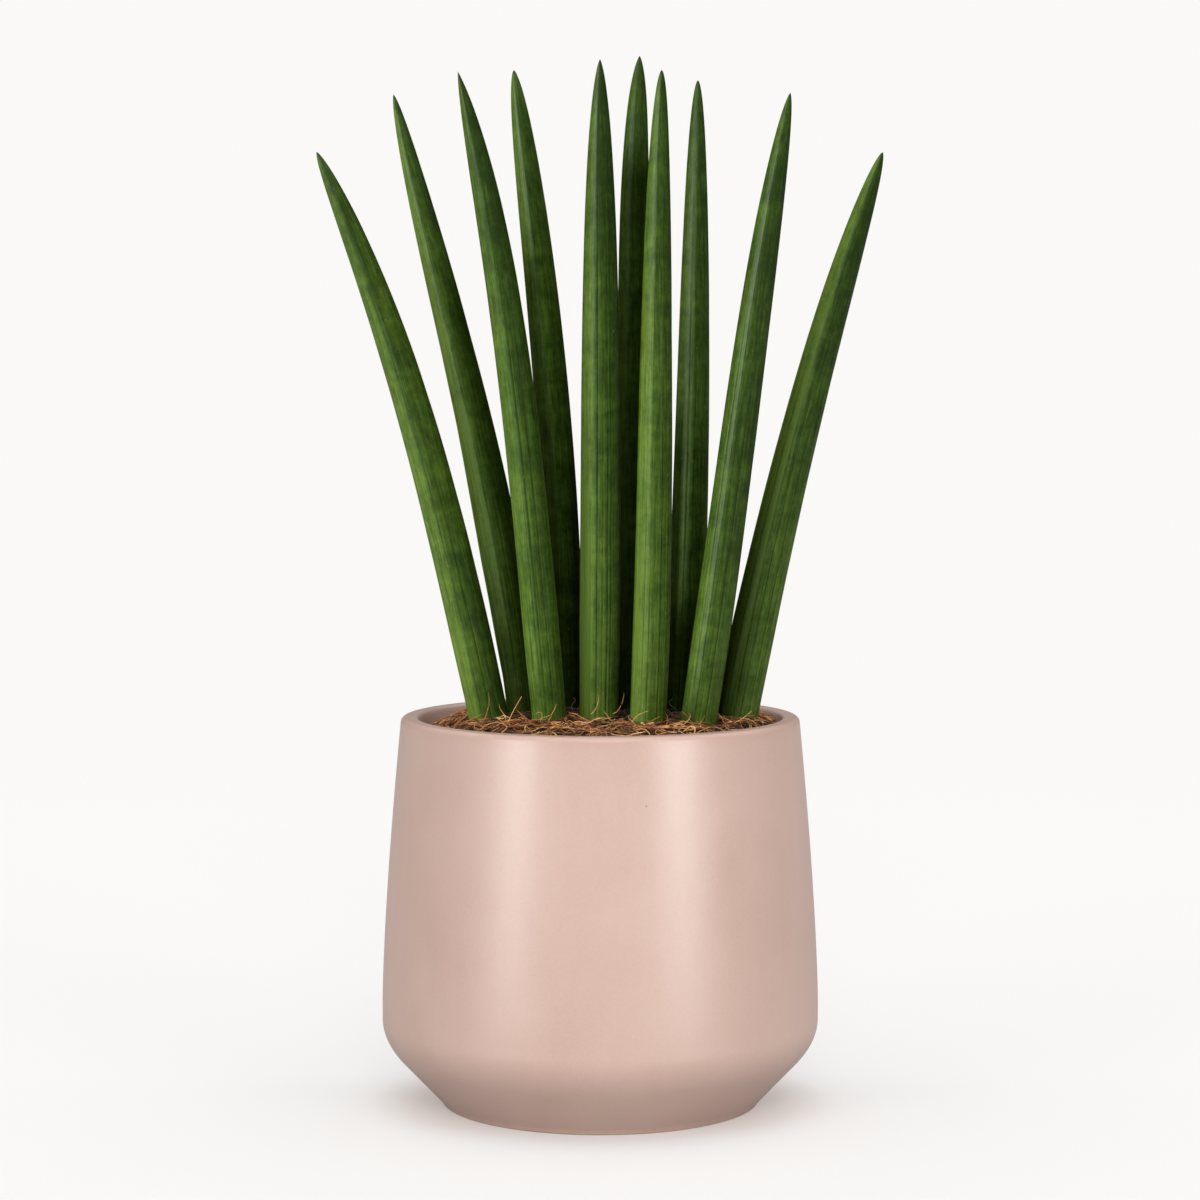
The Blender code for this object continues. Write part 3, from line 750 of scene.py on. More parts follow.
def build_leaf(name):
    leaf, style = LEAVES[name], LEAF_STYLE[name]
    fine_u = np.linspace(0, 1, 801)
    fine = leaf_point(leaf, fine_u)
    run = np.concatenate([[0.0], np.cumsum(np.linalg.norm(np.diff(fine, axis=0), axis=1))])
    length = run[-1]
    from_tip = leaf_stations(length)
    u = np.interp(length - from_tip, run, fine_u)
    centre = leaf_point(leaf, u)
    ahead, behind = leaf_point(leaf, np.minimum(u + 0.002, 1.0)), leaf_point(leaf, np.maximum(u - 0.002, 0.0))
    tangent = ahead - behind
    tangent /= np.linalg.norm(tangent, axis=1)[:, None]
    right = np.array([1.0, 0, 0]) - tangent * tangent[:, :1]
    right /= np.linalg.norm(right, axis=1)[:, None]
    front = np.cross(right, tangent)
    front *= np.where(front[:, 1:2] > 0, -1.0, 1.0)

    grooves = groove_set(style)
    width = 2.5                                          # a groove's half width in degrees
    angles = list(np.arange(-180.0, 180.0, 5.6))
    for a, _, _ in grooves:
        angles += [a + o for o in (-5.0, -3.1, -1.9, -0.9, 0.0, 0.9, 1.9, 3.1, 5.0)]
    channel = style["channel"]
    half = 26.0
    for o in (-1.12, -1.04, -1.0, -0.95, -0.85, -0.7, -0.45, -0.2, 0.0, 0.2, 0.45, 0.7, 0.85, 0.95, 1.0, 1.04, 1.12):
        angles.append(channel + half * o)
    angles = np.sort((np.array(angles) + 180.0) % 360.0 - 180.0)
    kept = [angles[0]]
    for a in angles[1:]:
        if a - kept[-1] > 0.75:
            kept.append(a)
    if kept[0] + 360.0 - kept[-1] < 0.75:
        kept.pop()
    theta = np.array(kept)
    sides, rings = len(theta), len(from_tip)

    plain = leaf_radius(leaf, from_tip, length)          # rings
    thick = (plain / 8.5)[:, None]
    share = (from_tip / length)[:, None]                 # 0 at the point, 1 at the foot
    seed = style["seed"]

    def off(angle):
        return (theta[None, :] - angle + 180.0) % 360.0 - 180.0

    radius = plain[:, None] * flat_factor(theta, style)[None, :]
    for angle, wide, steps in style.get("fuller", ()):    # a flank that bulges, in mm at each height
        heights, more = np.array(steps).T
        radius += np.interp(centre[:, 2], heights, more)[:, None] * np.exp(-(off(angle) / wide) ** 2)
    shade = np.zeros((rings, sides))
    for k, (a, depth, climb) in enumerate(grooves):
        drift = 1.6 * smooth_noise(from_tip / 60.0, seed + k)[:, None]
        reach = np.clip((share - (1 - climb)) / 0.30, 0, 1)
        wave = 0.68 + 0.32 * smooth_noise(from_tip / 13.0, seed * 1.9 + 5 * k)[:, None]
        full = (0.16 + 0.84 * reach * reach * (3 - 2 * reach)) * wave * depth
        full = full * np.clip(from_tip / 30.0, 0, 1)[:, None]
        shape = np.exp(-((off(a) - drift * 0.5) / width) ** 2)
        radius -= 0.34 * thick * full * shape
        shade += full * np.exp(-((off(a) - drift * 0.5) / (width * 0.80)) ** 2)
    # low ribs between the grooves, and slow swellings along the leaf
    ribs = smooth_noise(np.radians(theta) * 5.0, seed * 0.7)[None, :]
    radius += 0.10 * thick * ribs * np.clip(share * 1.6, 0, 1)
    radius += 0.07 * thick * smooth_noise(from_tip / 26.0, seed)[:, None]

    # the channel down one side, with raised brown margins
    open_half = 9.0 + (half - 9.0) * np.clip(share * 1.5, 0, 1) ** 0.7
    across = np.abs(off(channel)) / open_half
    fade = np.clip((from_tip - 6.0) / 40.0, 0, 1)[:, None]
    deep = (1.05 + 0.75 * share) * thick * fade
    dish = np.where(across < 1.0, (1 - np.clip(across, 0, 1) ** 2) ** 1.3, 0.0)
    radius -= deep * dish
    rim = np.exp(-((across - 1.0) * open_half / 2.4) ** 2)
    radius += 0.16 * thick * fade * rim
    margin = np.exp(-((across - 1.0) * open_half / 2.0) ** 2) * np.clip(from_tip / 20.0, 0, 1)[:, None]

    t = np.radians(theta)[None, :, None]
    spread = radius[..., None] * (np.cos(t) * front[:, None, :] + np.sin(t) * right[:, None, :])
    points = centre[:, None, :] + spread
    along = length - from_tip
    straight = np.stack(np.broadcast_arrays(
        8.5 * np.cos(np.radians(theta))[None, :], 8.5 * np.sin(np.radians(theta))[None, :],
        along[:, None]), -1)
    above = points[..., 2] - 165.0
    first, second = style["ridges"]
    # painted light on the left flank (1), painted shade on the right side (-1)
    flank_light = 1 / (1 + np.exp((theta - first + 5.5) / 3.2)) / (1 + np.exp((-118.0 - theta) / 6.0))
    flank_light = flank_light - 1 / (1 + np.exp((second - 22.0 - theta) / 5.0)) / (1 + np.exp((theta - 112.0) / 6.0))
    flank_light = np.broadcast_to(flank_light[None, :], (rings, sides))
    painted_shade_in = painted_clump_shade(name, theta, from_tip, centre, front, right)

    flat = points.reshape(-1, 3)
    faces = ring_faces(rings, sides, flip=True)
    tip_index = len(flat)
    lift = centre[0] + tangent[0] * 0.10
    foot = centre[-1]
    flat = np.vstack([flat, lift[None], foot[None]])
    last = (rings - 1) * sides
    for j in range(sides):
        k = (j + 1) % sides
        faces.append([j, tip_index, k][::-1])
        faces.append([last + j, last + k, tip_index + 1][::-1])
    obj = make_object(name + "_skin", flat, faces, (leaf_material(name, style),))
    # faces point out
    check = obj.data.polygons[sides * (rings // 2)]
    outward = Vector(check.center) - Vector(centre[rings // 2] * MM)
    if check.normal.dot(outward) < 0:
        obj.data.flip_normals()

    def closed(values, tip_value, foot_value):
        return np.concatenate([np.asarray(values, float).ravel(), [tip_value, foot_value]])

    add_vector(obj, "leaf_place", np.vstack([straight.reshape(-1, 3), [[0, 0, length], [0, 0, 0]]]))
    add_number(obj, "leaf_groove", closed(np.clip(shade, 0, 1), 0, 0))
    add_number(obj, "leaf_channel", closed(np.clip(dish * fade, 0, 1), 0, 0))
    add_number(obj, "leaf_margin", closed(np.clip(margin, 0, 1), 0, 0))
    add_number(obj, "leaf_above", closed(above, above.max(), above.min()))
    add_number(obj, "leaf_flank_light", closed(flank_light, 0, 0))
    # the lit left edge, painted yellower
    edge = 1 / (1 + np.exp((theta + 42.0) / 3.0)) / (1 + np.exp((-112.0 - theta) / 6.0))
    add_number(obj, "leaf_lit_edge", closed(np.broadcast_to(edge[None, :], (rings, sides)), 0, 0))
    # the right side, painted lighter or darker by height
    lee = 1 / (1 + np.exp((26.0 - theta) / 8.0)) / (1 + np.exp((theta - 112.0) / 6.0))
    add_number(obj, "leaf_lee", closed(np.broadcast_to(lee[None, :], (rings, sides)), 0, 0))
    satin = 1 - 0.92 / (1 + np.exp((52.0 - theta) / 6.0)) / (1 + np.exp((theta - 128.0) / 6.0))
    satin = satin * (1 - 0.80 / (1 + np.exp((theta + 66.0) / 5.0)) / (1 + np.exp((-118.0 - theta) / 6.0)))
    add_number(obj, "leaf_sheen", closed(np.broadcast_to(satin[None, :], (rings, sides)), 1, 1))
    # painted shade, never below a twentieth
    painted_shade_in = 0.05 + 0.95 * painted_shade_in
    add_number(obj, "leaf_painted_shade", closed(painted_shade_in, 1.0, painted_shade_in.min()))
    add_number(obj, "leaf_tip", closed(np.broadcast_to(from_tip[:, None], (rings, sides)), 0, length))
    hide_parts(name)
    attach(obj, BODY)
    return obj


# --------------------------------------------------------------------- coir
def leaf_at(z):
    """Centres and radii of the leaves where they pass a height."""
    out = []
    for leaf in LEAVES.values():
        u = np.linspace(0, 0.4, 81)
        line = leaf_point(leaf, u)
        k = int(np.argmin(np.abs(line[:, 2] - z)))
        run = np.linalg.norm(leaf_point(leaf, 1.0) - leaf_point(leaf, 0.0))
        radius = float(leaf_radius(leaf, run * (1 - u[k]), run))
        out.append((line[k, 0], line[k, 1], radius))
    return np.array(out)


LEAF_SPOTS = leaf_at(165.0)
LEAF_LEAN = (leaf_at(172.0)[:, :2] - leaf_at(158.0)[:, :2]) / 14.0


def mat_height(x, y):
    """Top of the matted bed, with lumps, in mm."""
    r = np.hypot(x, y)
    lumps = 0.9 * np.sin(x * 0.21 + 1.3) * np.cos(y * 0.19 - 0.4) + 0.7 * np.sin(x * 0.47 - y * 0.39 + 2.0) \
        + 0.45 * np.sin(x * 0.93 + y * 0.71)
    thins = np.clip((r - 54.0) / 18.0, 0, 1)              # less fibre lies by the wall
    least = 1.3 * np.clip((-y - 5.0) / 30.0, 0, 1) - 0.9 * np.clip((y - 26.0) / 20.0, 0, 1) \
        - 3.1 * np.clip((x - 35.0) / 30.0, 0, 1) * np.clip((y + 40.0) / 30.0, 0, 1)
    return coir_top(r) - 2.1 - least * thins * thins * (3 - 2 * thins) \
        + lumps * np.clip((80 - r) / 18.0, 0.25, 1.0)


def keep_clear(points, thickness, passes=3):
    """Moves fibre points out of the leaves and in from the wall."""
    for _ in range(passes):
        for (cx, cy, radius), (lx, ly) in zip(LEAF_SPOTS, LEAF_LEAN):
            rise = points[..., 2] - 165.0
            dx = points[..., 0] - (cx + lx * rise)
            dy = points[..., 1] - (cy + ly * rise)
            d = np.hypot(dx, dy)
            need = radius + 0.15 + thickness
            push = np.where(d < need, need / np.maximum(d, 0.2), 1.0)
            points[..., 0] += dx * (push - 1)
            points[..., 1] += dy * (push - 1)
        r = np.hypot(points[..., 0], points[..., 1])
        limit = np.where(points[..., 2] > POT_HEIGHT - 1.5, 77.0, 77.6) - thickness
        pull = np.where(r > limit, limit / np.maximum(r, 1.0), 1.0)
        points[..., 0] *= pull
        points[..., 1] *= pull
    return points


def tubes(name, lines, radii, tones, mat, sides=3):
    """One mesh of many fibres. lines is (fibres, points, 3) in mm."""
    count, steps, _ = lines.shape
    tangent = np.gradient(lines, axis=1)
    tangent /= np.maximum(np.linalg.norm(tangent, axis=2), 1e-6)[..., None]
    up = np.where(np.abs(tangent[..., 2:]) > 0.85, np.array([1.0, 0.2, 0.0]), np.array([0.0, 0.0, 1.0]))
    a = np.cross(tangent, up)
    a /= np.maximum(np.linalg.norm(a, axis=2), 1e-6)[..., None]
    b = np.cross(tangent, a)
    turn = np.arange(sides) * 2 * math.pi / sides
    ring = np.cos(turn)[:, None] * a[:, :, None, :] + np.sin(turn)[:, None] * b[:, :, None, :]
    points = lines[:, :, None, :] + radii[:, :, None, None] * ring
    i = np.arange(count)[:, None, None] * steps * sides
    s = np.arange(steps - 1)[None, :, None] * sides
    j = np.arange(sides)[None, None, :]
    k = (j + 1) % sides
    quads = np.stack([i + s + j, i + s + k, i + s + sides + k, i + s + sides + j], -1).reshape(-1, 4)
    faces = quads[:, ::-1].tolist()
    starts = (np.arange(count) * steps * sides)[:, None] + np.arange(sides)[None, :]
    faces += starts.tolist()
    faces += (starts + (steps - 1) * sides)[:, ::-1].tolist()
    obj = make_object(name, points.reshape(-1, 3), faces, (mat,))
    add_number(obj, "fibre_tone", np.repeat(tones, steps * sides))
    add_number(obj, "fibre_painted_shade", np.repeat(coir_painted_shade(lines).reshape(-1), sides))
    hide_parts("coir_topping")
    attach(obj, BODY)
    return obj


def coir_painted_shade(points):
    """Painted shade: darker low in the mat, hard by a leaf and behind the leaves."""
    x, y, z = points[..., 0], points[..., 1], points[..., 2]
    raised = np.clip((z - mat_height(x, y) + 0.1) / 2.7, 0, 1)
    share = 0.05 + 0.95 * raised * raised * (3 - 2 * raised)
    nearest = np.full(x.shape, 99.0)
    for (cx, cy, radius), (lx, ly) in zip(LEAF_SPOTS, LEAF_LEAN):
        rise = z - 165.0
        nearest = np.minimum(nearest, np.hypot(x - cx - lx * rise, y - cy - ly * rise) - radius)
    share = share * (0.55 + 0.45 * np.clip(nearest / 3.0, 0, 1))
    ways, heights = (-30, -15, 0, 15, 30), (6.0, 20.0, 40.0)
    seen = np.maximum(openness(points, ways, heights), openness(points, [180 + w for w in ways], heights))
    return share * np.clip(seen ** 1.9, 0.06, 1.0)


def scatter_fibres(rng, count, steps, long, thick, lift, spring, curl):
    """Curly fibres that lie over the bed."""
    r = 77.0 * np.sqrt(rng.random(count))
    place = rng.random(count) * 2 * math.pi
    heading = rng.random(count) * 2 * math.pi
    length = long * (0.45 + 0.9 * rng.random(count))
    step = length / (steps - 1)
    bend = rng.normal(0, 0.5 * curl, count)[:, None] + rng.normal(0, curl, (count, steps)).cumsum(axis=1) * 0.5
    angle = heading[:, None] + np.cumsum(bend, axis=1)
    dx, dy = np.cos(angle) * step[:, None], np.sin(angle) * step[:, None]
    x = r[:, None] * np.cos(place)[:, None] + np.cumsum(dx, axis=1) - dx.sum(axis=1)[:, None] / 2
    y = r[:, None] * np.sin(place)[:, None] + np.cumsum(dy, axis=1) - dy.sum(axis=1)[:, None] / 2
    wave = rng.random(count)[:, None] * 6.28 + np.linspace(0, 1, steps)[None, :] * (2.0 + 5.0 * rng.random(count))[:, None]
    level = lift * rng.random(count)[:, None] ** 1.4 + 0.55 * np.sin(wave)
    rises = ((rng.random(count) < spring) & (r < 56.0))[:, None]
    end = np.linspace(0, 1, steps)[None, :]
    level = level + rises * (2.5 + 5.5 * rng.random(count))[:, None] * end ** 2.2
    lines = np.stack([x, y, np.zeros_like(x)], -1)
    lines[..., 2] = mat_height(x, y) + level
    lines = keep_clear(lines, thick)
    smooth = lines.copy()
    smooth[:, 1:-1] = (lines[:, :-2] + 2 * lines[:, 1:-1] + lines[:, 2:]) / 4
    lines = keep_clear(smooth, thick, 2)
    lines[..., 2] = np.maximum(lines[..., 2], mat_height(lines[..., 0], lines[..., 1]) - 0.4)
    width = thick * (0.50 + 0.75 * rng.random(count)) * np.where(rises[:, 0], 0.62, 1.0)
    taper = np.clip(np.minimum(end, 1 - end) * 9.0 + 0.35, 0, 1)
    radii = width[:, None] * taper
    tones = np.clip(rng.normal(0.53, 0.36, count), 0, 1)
    return lines, radii, tones


def camera_point(x, y, depth_y):
    """The point (mm) at a depth that falls on a place in the square view."""
    c, s = math.cos(CAMERA_PITCH), math.sin(CAMERA_PITCH)
    across, down = (x - 600.2) / CAMERA_F, (y - 600.0) / CAMERA_F
    # direction of the ray: forward + across + down
    ray = np.array([across, c - down * s, -s - down * c])
    t = (depth_y - CAMERA_Y) / ray[1]
    return np.array([t * ray[0], depth_y, CAMERA_Z + t * ray[2]])


CAMERA_F = 3214.0
CAMERA_PITCH = math.atan(220.0 / 3214.0)
CAMERA_Y = -1374.0
CAMERA_Z = 310.5

# Strands that stand or hang apart from the rest, as places in the front view
# with the depth in mm where each lies.
LOOSE = (
    (((488.5, 692.5), (489.2, 699), (488.6, 706), (486.6, 714), (483.0, 722), (480.5, 728)), -26.0, 0.42),
    (((498.6, 704.5), (499.8, 709), (502.5, 713), (505.4, 716.5), (505.8, 720), (503.5, 723)), -20.0, 0.40),
    (((521.8, 696.5), (517.8, 703), (513.8, 710), (510.6, 716.5), (507.4, 723), (504.5, 730)), -30.0, 0.44),
    (((516.5, 710.0), (520.0, 713), (523.8, 716), (527.5, 719), (531.0, 722), (534.0, 725)), -32.0, 0.36),
    (((556.4, 704.0), (554.6, 708.5), (552.4, 713), (550.3, 717.5), (548.0, 722), (545.0, 726)), -30.0, 0.36),
    (((536.0, 713.5), (538.5, 711.6), (541.4, 712.6), (542.2, 716), (540.2, 720), (541.0, 725)), -30.0, 0.32),
    (((595.9, 685.6), (598.0, 687.4), (600.2, 689.4), (601.9, 691.4), (602.8, 693.4), (603.4, 695.2)), -16.5, 0.30),
    (((598.8, 695.0), (598.6, 699), (598.0, 703), (596.6, 707), (594.4, 711), (591.0, 714)), -18.0, 0.34),
    (((624.0, 693.0), (623.6, 698), (622.0, 703.5), (619.4, 708.5), (616.4, 712.2), (612.6, 713.4)), -16.0, 0.40),
    (((603.4, 710.4), (605.8, 713.6), (608.6, 717), (611.4, 720.4), (614.0, 724), (617.5, 727)), -24.0, 0.38),
    (((648.0, 710.6), (643.2, 712.2), (638.4, 714.4), (634.6, 717.8), (632.0, 722), (628.0, 725.5)), -34.0, 0.40),
    (((569.0, 712.4), (573.5, 713.0), (578.5, 715.2), (583.0, 718.6), (588.0, 721), (593.5, 722)), -22.0, 0.36),
    (((681.6, 711.2), (685.0, 714.0), (688.8, 717.6), (692.4, 721.4), (696.0, 725.4), (699.0, 729.2)), -36.0, 0.42),
    (((703.8, 715.4), (702.4, 718.4), (700.8, 721.2), (699.2, 724), (697.6, 726.6), (695.5, 729)), -36.0, 0.34),
    (((752.0, 711.2), (748.0, 714.6), (743.4, 718.2), (738.2, 721.0), (732.6, 723.2), (727.0, 725.2)), -24.0, 0.38),
    (((765.4, 711.4), (766.8, 714.4), (767.0, 717.6), (768.6, 720.4), (771.4, 722.4), (774.0, 723.0)), -4.0, 0.34),
    (((672.6, 698.6), (670.2, 700.0), (669.0, 702.6), (670.6, 705.4), (673.6, 707.2), (676.0, 710.0)), -6.0, 0.34),
    (((572.6, 697.8), (575.4, 698.4), (575.0, 701.6), (572.0, 704.2), (571.4, 708.4), (573.6, 712.0)), 4.0, 0.34),
    (((660.0, 716.0), (656.2, 718.2), (651.6, 721.4), (646.0, 724.2), (640.4, 726.4), (634.0, 728.0)), -42.0, 0.38),
    (((470.0, 711.0), (468.2, 714.0), (466.0, 716.4), (463.0, 718.6), (460.4, 720.4), (457.0, 722.4)), -16.0, 0.36),
    (((688.6, 712.8), (690.6, 715.8), (689.4, 719.4), (686.4, 722.4), (682.6, 724.8), (678.4, 727.0)), -38.0, 0.34),
    (((716.4, 713.2), (719.6, 715.2), (722.0, 718.4), (723.6, 722.2), (726.8, 725.4), (731.0, 727.2)), -34.0, 0.34),
)


def loose_fibres():
    lines, radii, tones = [], [], []
    for k, (marks, depth, width) in enumerate(LOOSE):
        marks = np.array(marks)
        base = np.array([camera_point(x, y, depth) for x, y in marks])
        lean = np.linspace(0, 1, len(marks))
        base[:, 1] += 1.6 * np.sin(3.0 * lean + k)
        base = keep_clear(base, width / 2)
        t = np.linspace(0, len(marks) - 1, 22)
        line = np.stack([np.interp(t, np.arange(len(marks)), base[:, a]) for a in range(3)], -1)
        for _ in range(3):
            line[1:-1] = (line[:-2] + 2 * line[1:-1] + line[2:]) / 4
        lines.append(keep_clear(line, width / 2))
        end = np.linspace(0, 1, 22)
        radii.append(width * 0.40 * np.clip(0.45 + end * 2.0, 0, 1))
        tones.append(0.45 + 0.35 * abs(math.sin(k * 2.1)))
    return np.array(lines), np.array(radii), np.array(tones)


def build_bed(mat):
    """The matted bed: a closed lumpy solid with a hole for each leaf."""
    edge = inner_radius(COIR_EDGE_TOP) - GAP
    rings, sides = 44, 144
    radii = edge * (np.arange(1, rings + 1) / rings) ** 0.85
    turn = np.linspace(0, 2 * math.pi, sides, endpoint=False)
    x, y = radii[:, None] * np.cos(turn), radii[:, None] * np.sin(turn)
    rng = np.random.default_rng(5)
    z = mat_height(x, y) + rng.normal(0, 0.22, x.shape)
    top = np.stack([x, y, z], -1).reshape(-1, 3)
    base = MIX_TOP + GAP
    low = inner_radius(base) - GAP
    bottom = np.stack([low * np.cos(turn), low * np.sin(turn), np.full(sides, base)], -1)
    points = np.vstack([top, bottom, [[0, 0, float(mat_height(0.0, 0.0))]], [[0, 0, base]]])
    faces = ring_faces(rings, sides)
    last = (rings - 1) * sides
    n = len(top)
    centre, under = n + sides, n + sides + 1
    for j in range(sides):
        k = (j + 1) % sides
        faces.append([centre, j, k])
        faces.append([last + k, last + j, n + j, n + k])
        faces.append([n + k, n + j, under])
    obj = make_object("coir_bed", points, faces, (mat,))
    import bmesh
    work = bmesh.new()
    work.from_mesh(obj.data)
    bmesh.ops.recalc_face_normals(work, faces=work.faces)
    work.to_mesh(obj.data)
    work.free()
    holes = bpy.data.collections.new("bed_holes")
    cutters = []
    for k, leaf in enumerate(LEAVES.values()):
        u = np.linspace(0.0, 0.32, 9)
        line = leaf_point(leaf, u)
        run = np.linalg.norm(leaf_point(leaf, 1.0) - leaf_point(leaf, 0.0))
        radius = leaf_radius(leaf, run * (1 - u), run) + GAP
        t = np.linspace(0, 2 * math.pi, 40, endpoint=False)
        ring = np.stack([np.cos(t), np.sin(t), np.zeros(40)], -1)
        pts = line[:, None, :] + radius[:, None, None] * ring[None]
        flat = np.vstack([pts.reshape(-1, 3), line[:1], line[-1:]])
        quads = ring_faces(9, 40)
        a, b = 9 * 40, 9 * 40 + 1
        for j in range(40):
            i = (j + 1) % 40
            quads.append([i, j, a])
            quads.append([8 * 40 + j, 8 * 40 + i, b])
        cutter = make_object(f"bed_hole_{k:02d}", flat, quads, ())
        bpy.context.scene.collection.objects.unlink(cutter)
        holes.objects.link(cutter)
        cutters.append(cutter)
    knife = obj.modifiers.new("Leaf holes", "BOOLEAN")
    knife.operation = "DIFFERENCE"
    knife.solver = "EXACT"
    knife.operand_type = "COLLECTION"
    knife.collection = holes
    bpy.context.view_layer.update()
    graph = bpy.context.evaluated_depsgraph_get()
    cut = bpy.data.meshes.new_from_object(obj.evaluated_get(graph))
    obj.modifiers.clear()
    obj.data = cut
    cut.shade_smooth()
    cut.set_sharp_from_angle(angle=math.radians(50))
    for cutter in cutters:
        bpy.data.objects.remove(cutter, do_unlink=True)
    bpy.data.collections.remove(holes)
    flat = np.empty(len(cut.vertices) * 3)
    cut.vertices.foreach_get("co", flat)
    add_number(obj, "fibre_painted_shade", coir_painted_shade(flat.reshape(-1, 3) / MM))
    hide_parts("coir_topping")
    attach(obj, BODY)
    return obj


def build_crumbs(mat):
    """Pith crumbs and short ends between the fibres."""
    rng = np.random.default_rng(77)
    count = 700
    base = np.array([(0, 0, 1), (1, 0, 0), (0, 1, 0), (-1, 0, 0), (0, -1, 0), (0, 0, -1)], float)
    sides = [(0, 1, 2), (0, 2, 3), (0, 3, 4), (0, 4, 1), (5, 2, 1), (5, 3, 2), (5, 4, 3), (5, 1, 4)]
    r = 77.2 * np.sqrt(rng.random(count) * 0.75 + 0.25 * rng.random(count) ** 0.3)
    place = rng.random(count) * 2 * math.pi
    centre = np.stack([r * np.cos(place), r * np.sin(place), np.zeros(count)], -1)
    centre = keep_clear(centre[:, None, :] + np.array([0, 0, 165.0]), 0.5)[:, 0]
    centre[:, 2] = mat_height(centre[:, 0], centre[:, 1]) + 0.3 + 1.1 * rng.random(count)
    size = 0.25 + 0.75 * rng.random((count, 1, 3)) ** 1.6
    shape = base[None] * size * (0.7 + 0.6 * rng.random((count, 6, 1)))
    turn = rng.random(count) * 6.28
    c, s = np.cos(turn)[:, None], np.sin(turn)[:, None]
    spun = np.stack([shape[..., 0] * c - shape[..., 1] * s, shape[..., 0] * s + shape[..., 1] * c, shape[..., 2]], -1)
    points = (centre[:, None, :] + spun).reshape(-1, 3)
    faces = (np.array(sides)[None] + (np.arange(count) * 6)[:, None, None]).reshape(-1, 3).tolist()
    obj = make_object("coir_crumbs", points, faces, (mat,), smooth=False)
    add_number(obj, "fibre_tone", np.repeat(np.clip(rng.normal(0.32, 0.2, count), 0, 1), 6))
    add_number(obj, "fibre_painted_shade", np.repeat(coir_painted_shade(centre), 6))
    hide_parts("coir_topping")
    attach(obj, BODY)
    return obj


def build_coir():
    fibre = fibre_material()
    build_bed(bed_material())
    rng = np.random.default_rng(2024)
    lines, radii, tones = scatter_fibres(rng, 900, 12, 25.0, 0.225, 2.9, 0.040, 0.34)
    tubes("coir_fibres_long", lines, radii, tones, fibre)
    lines, radii, tones = scatter_fibres(rng, 1250, 10, 14.5, 0.200, 3.1, 0.030, 0.46)
    tubes("coir_fibres_short", lines, radii, tones, fibre)
    lines, radii, tones = scatter_fibres(rng, 1000, 7, 9.0, 0.145, 3.3, 0.025, 0.62)
    tubes("coir_fibres_fine", lines, radii, tones, fibre)
    lines, radii, tones = loose_fibres()
    tubes("coir_fibres_loose", lines, radii, tones, fibre, sides=6)
    build_crumbs(fibre)


# ------------------------------------------------------------ camera, light
def build_camera():
    data = bpy.data.cameras.new("camera")
    data.sensor_width = 36.0
    data.lens = CAMERA_F / 1200.0 * 36.0
    data.clip_start, data.clip_end = 0.05, 200.0
    cam = bpy.data.objects.new("camera", data)
    cam.location = (-0.0001, CAMERA_Y * MM, CAMERA_Z * MM)
    cam.rotation_euler = (math.pi / 2 - CAMERA_PITCH, 0.0, 0.0)
    bpy.context.scene.collection.objects.link(cam)
    bpy.context.scene.camera = cam


BACKDROP = srgb(250, 249, 247)
FLOOR_SEEN = (0.878, 0.886, 0.893)
FLOOR_PAINTED_BOUNCE = (0.815, 0.735, 0.690)        # painted reddish bounce light from the pot, beside it
FLOOR_BOUNCE = (0.48, 0.48, 0.475)
FLOOR_SHADOW_LIFT = 0.28          # share of glow near the pot: painted light that lightens its shadow

# name: azimuth from the front, elevation, angular diameter (degrees),
#       brightness, and what it lights
SUNS = (
    ("strip_left", -47.0, 3.0, 16.0, 0.88, "ware"),
    ("strip_right", 44.5, 3.0, 16.0, 0.95, "ware"),
    ("glow_left", -47.0, 5.0, 25.0, 1.02, "pot"),
    ("glow_right", 44.5, 5.0, 25.0, 1.05, "pot"),
    ("low_left", -47.0, 5.0, 25.0, 1.02, "coir and floor"),
    ("low_right", 44.5, 5.0, 25.0, 1.05, "coir and floor"),
    ("front_high", 2.6, 26.0, 27.0, 1.01, "coir and floor"),
    ("pot_front", 2.6, 26.0, 27.0, 0.72, "pot"),
    ("pot_above_left", -50.0, 52.0, 40.0, 0.25, "pot"),
    ("pot_above_right", 50.0, 52.0, 40.0, 0.25, "pot"),
    ("leaf_key", -64.0, 8.0, 15.0, 1.45, "leaves"),
    ("leaf_fill", -35.0, 12.0, 30.0, 1.05, "leaves"),
)
SKY_TINT = (1.0, 0.985, 0.97)
SKY = dict(top=0.85, top_front=0.77, ring=1.35, low=0.25, behind=0.6)


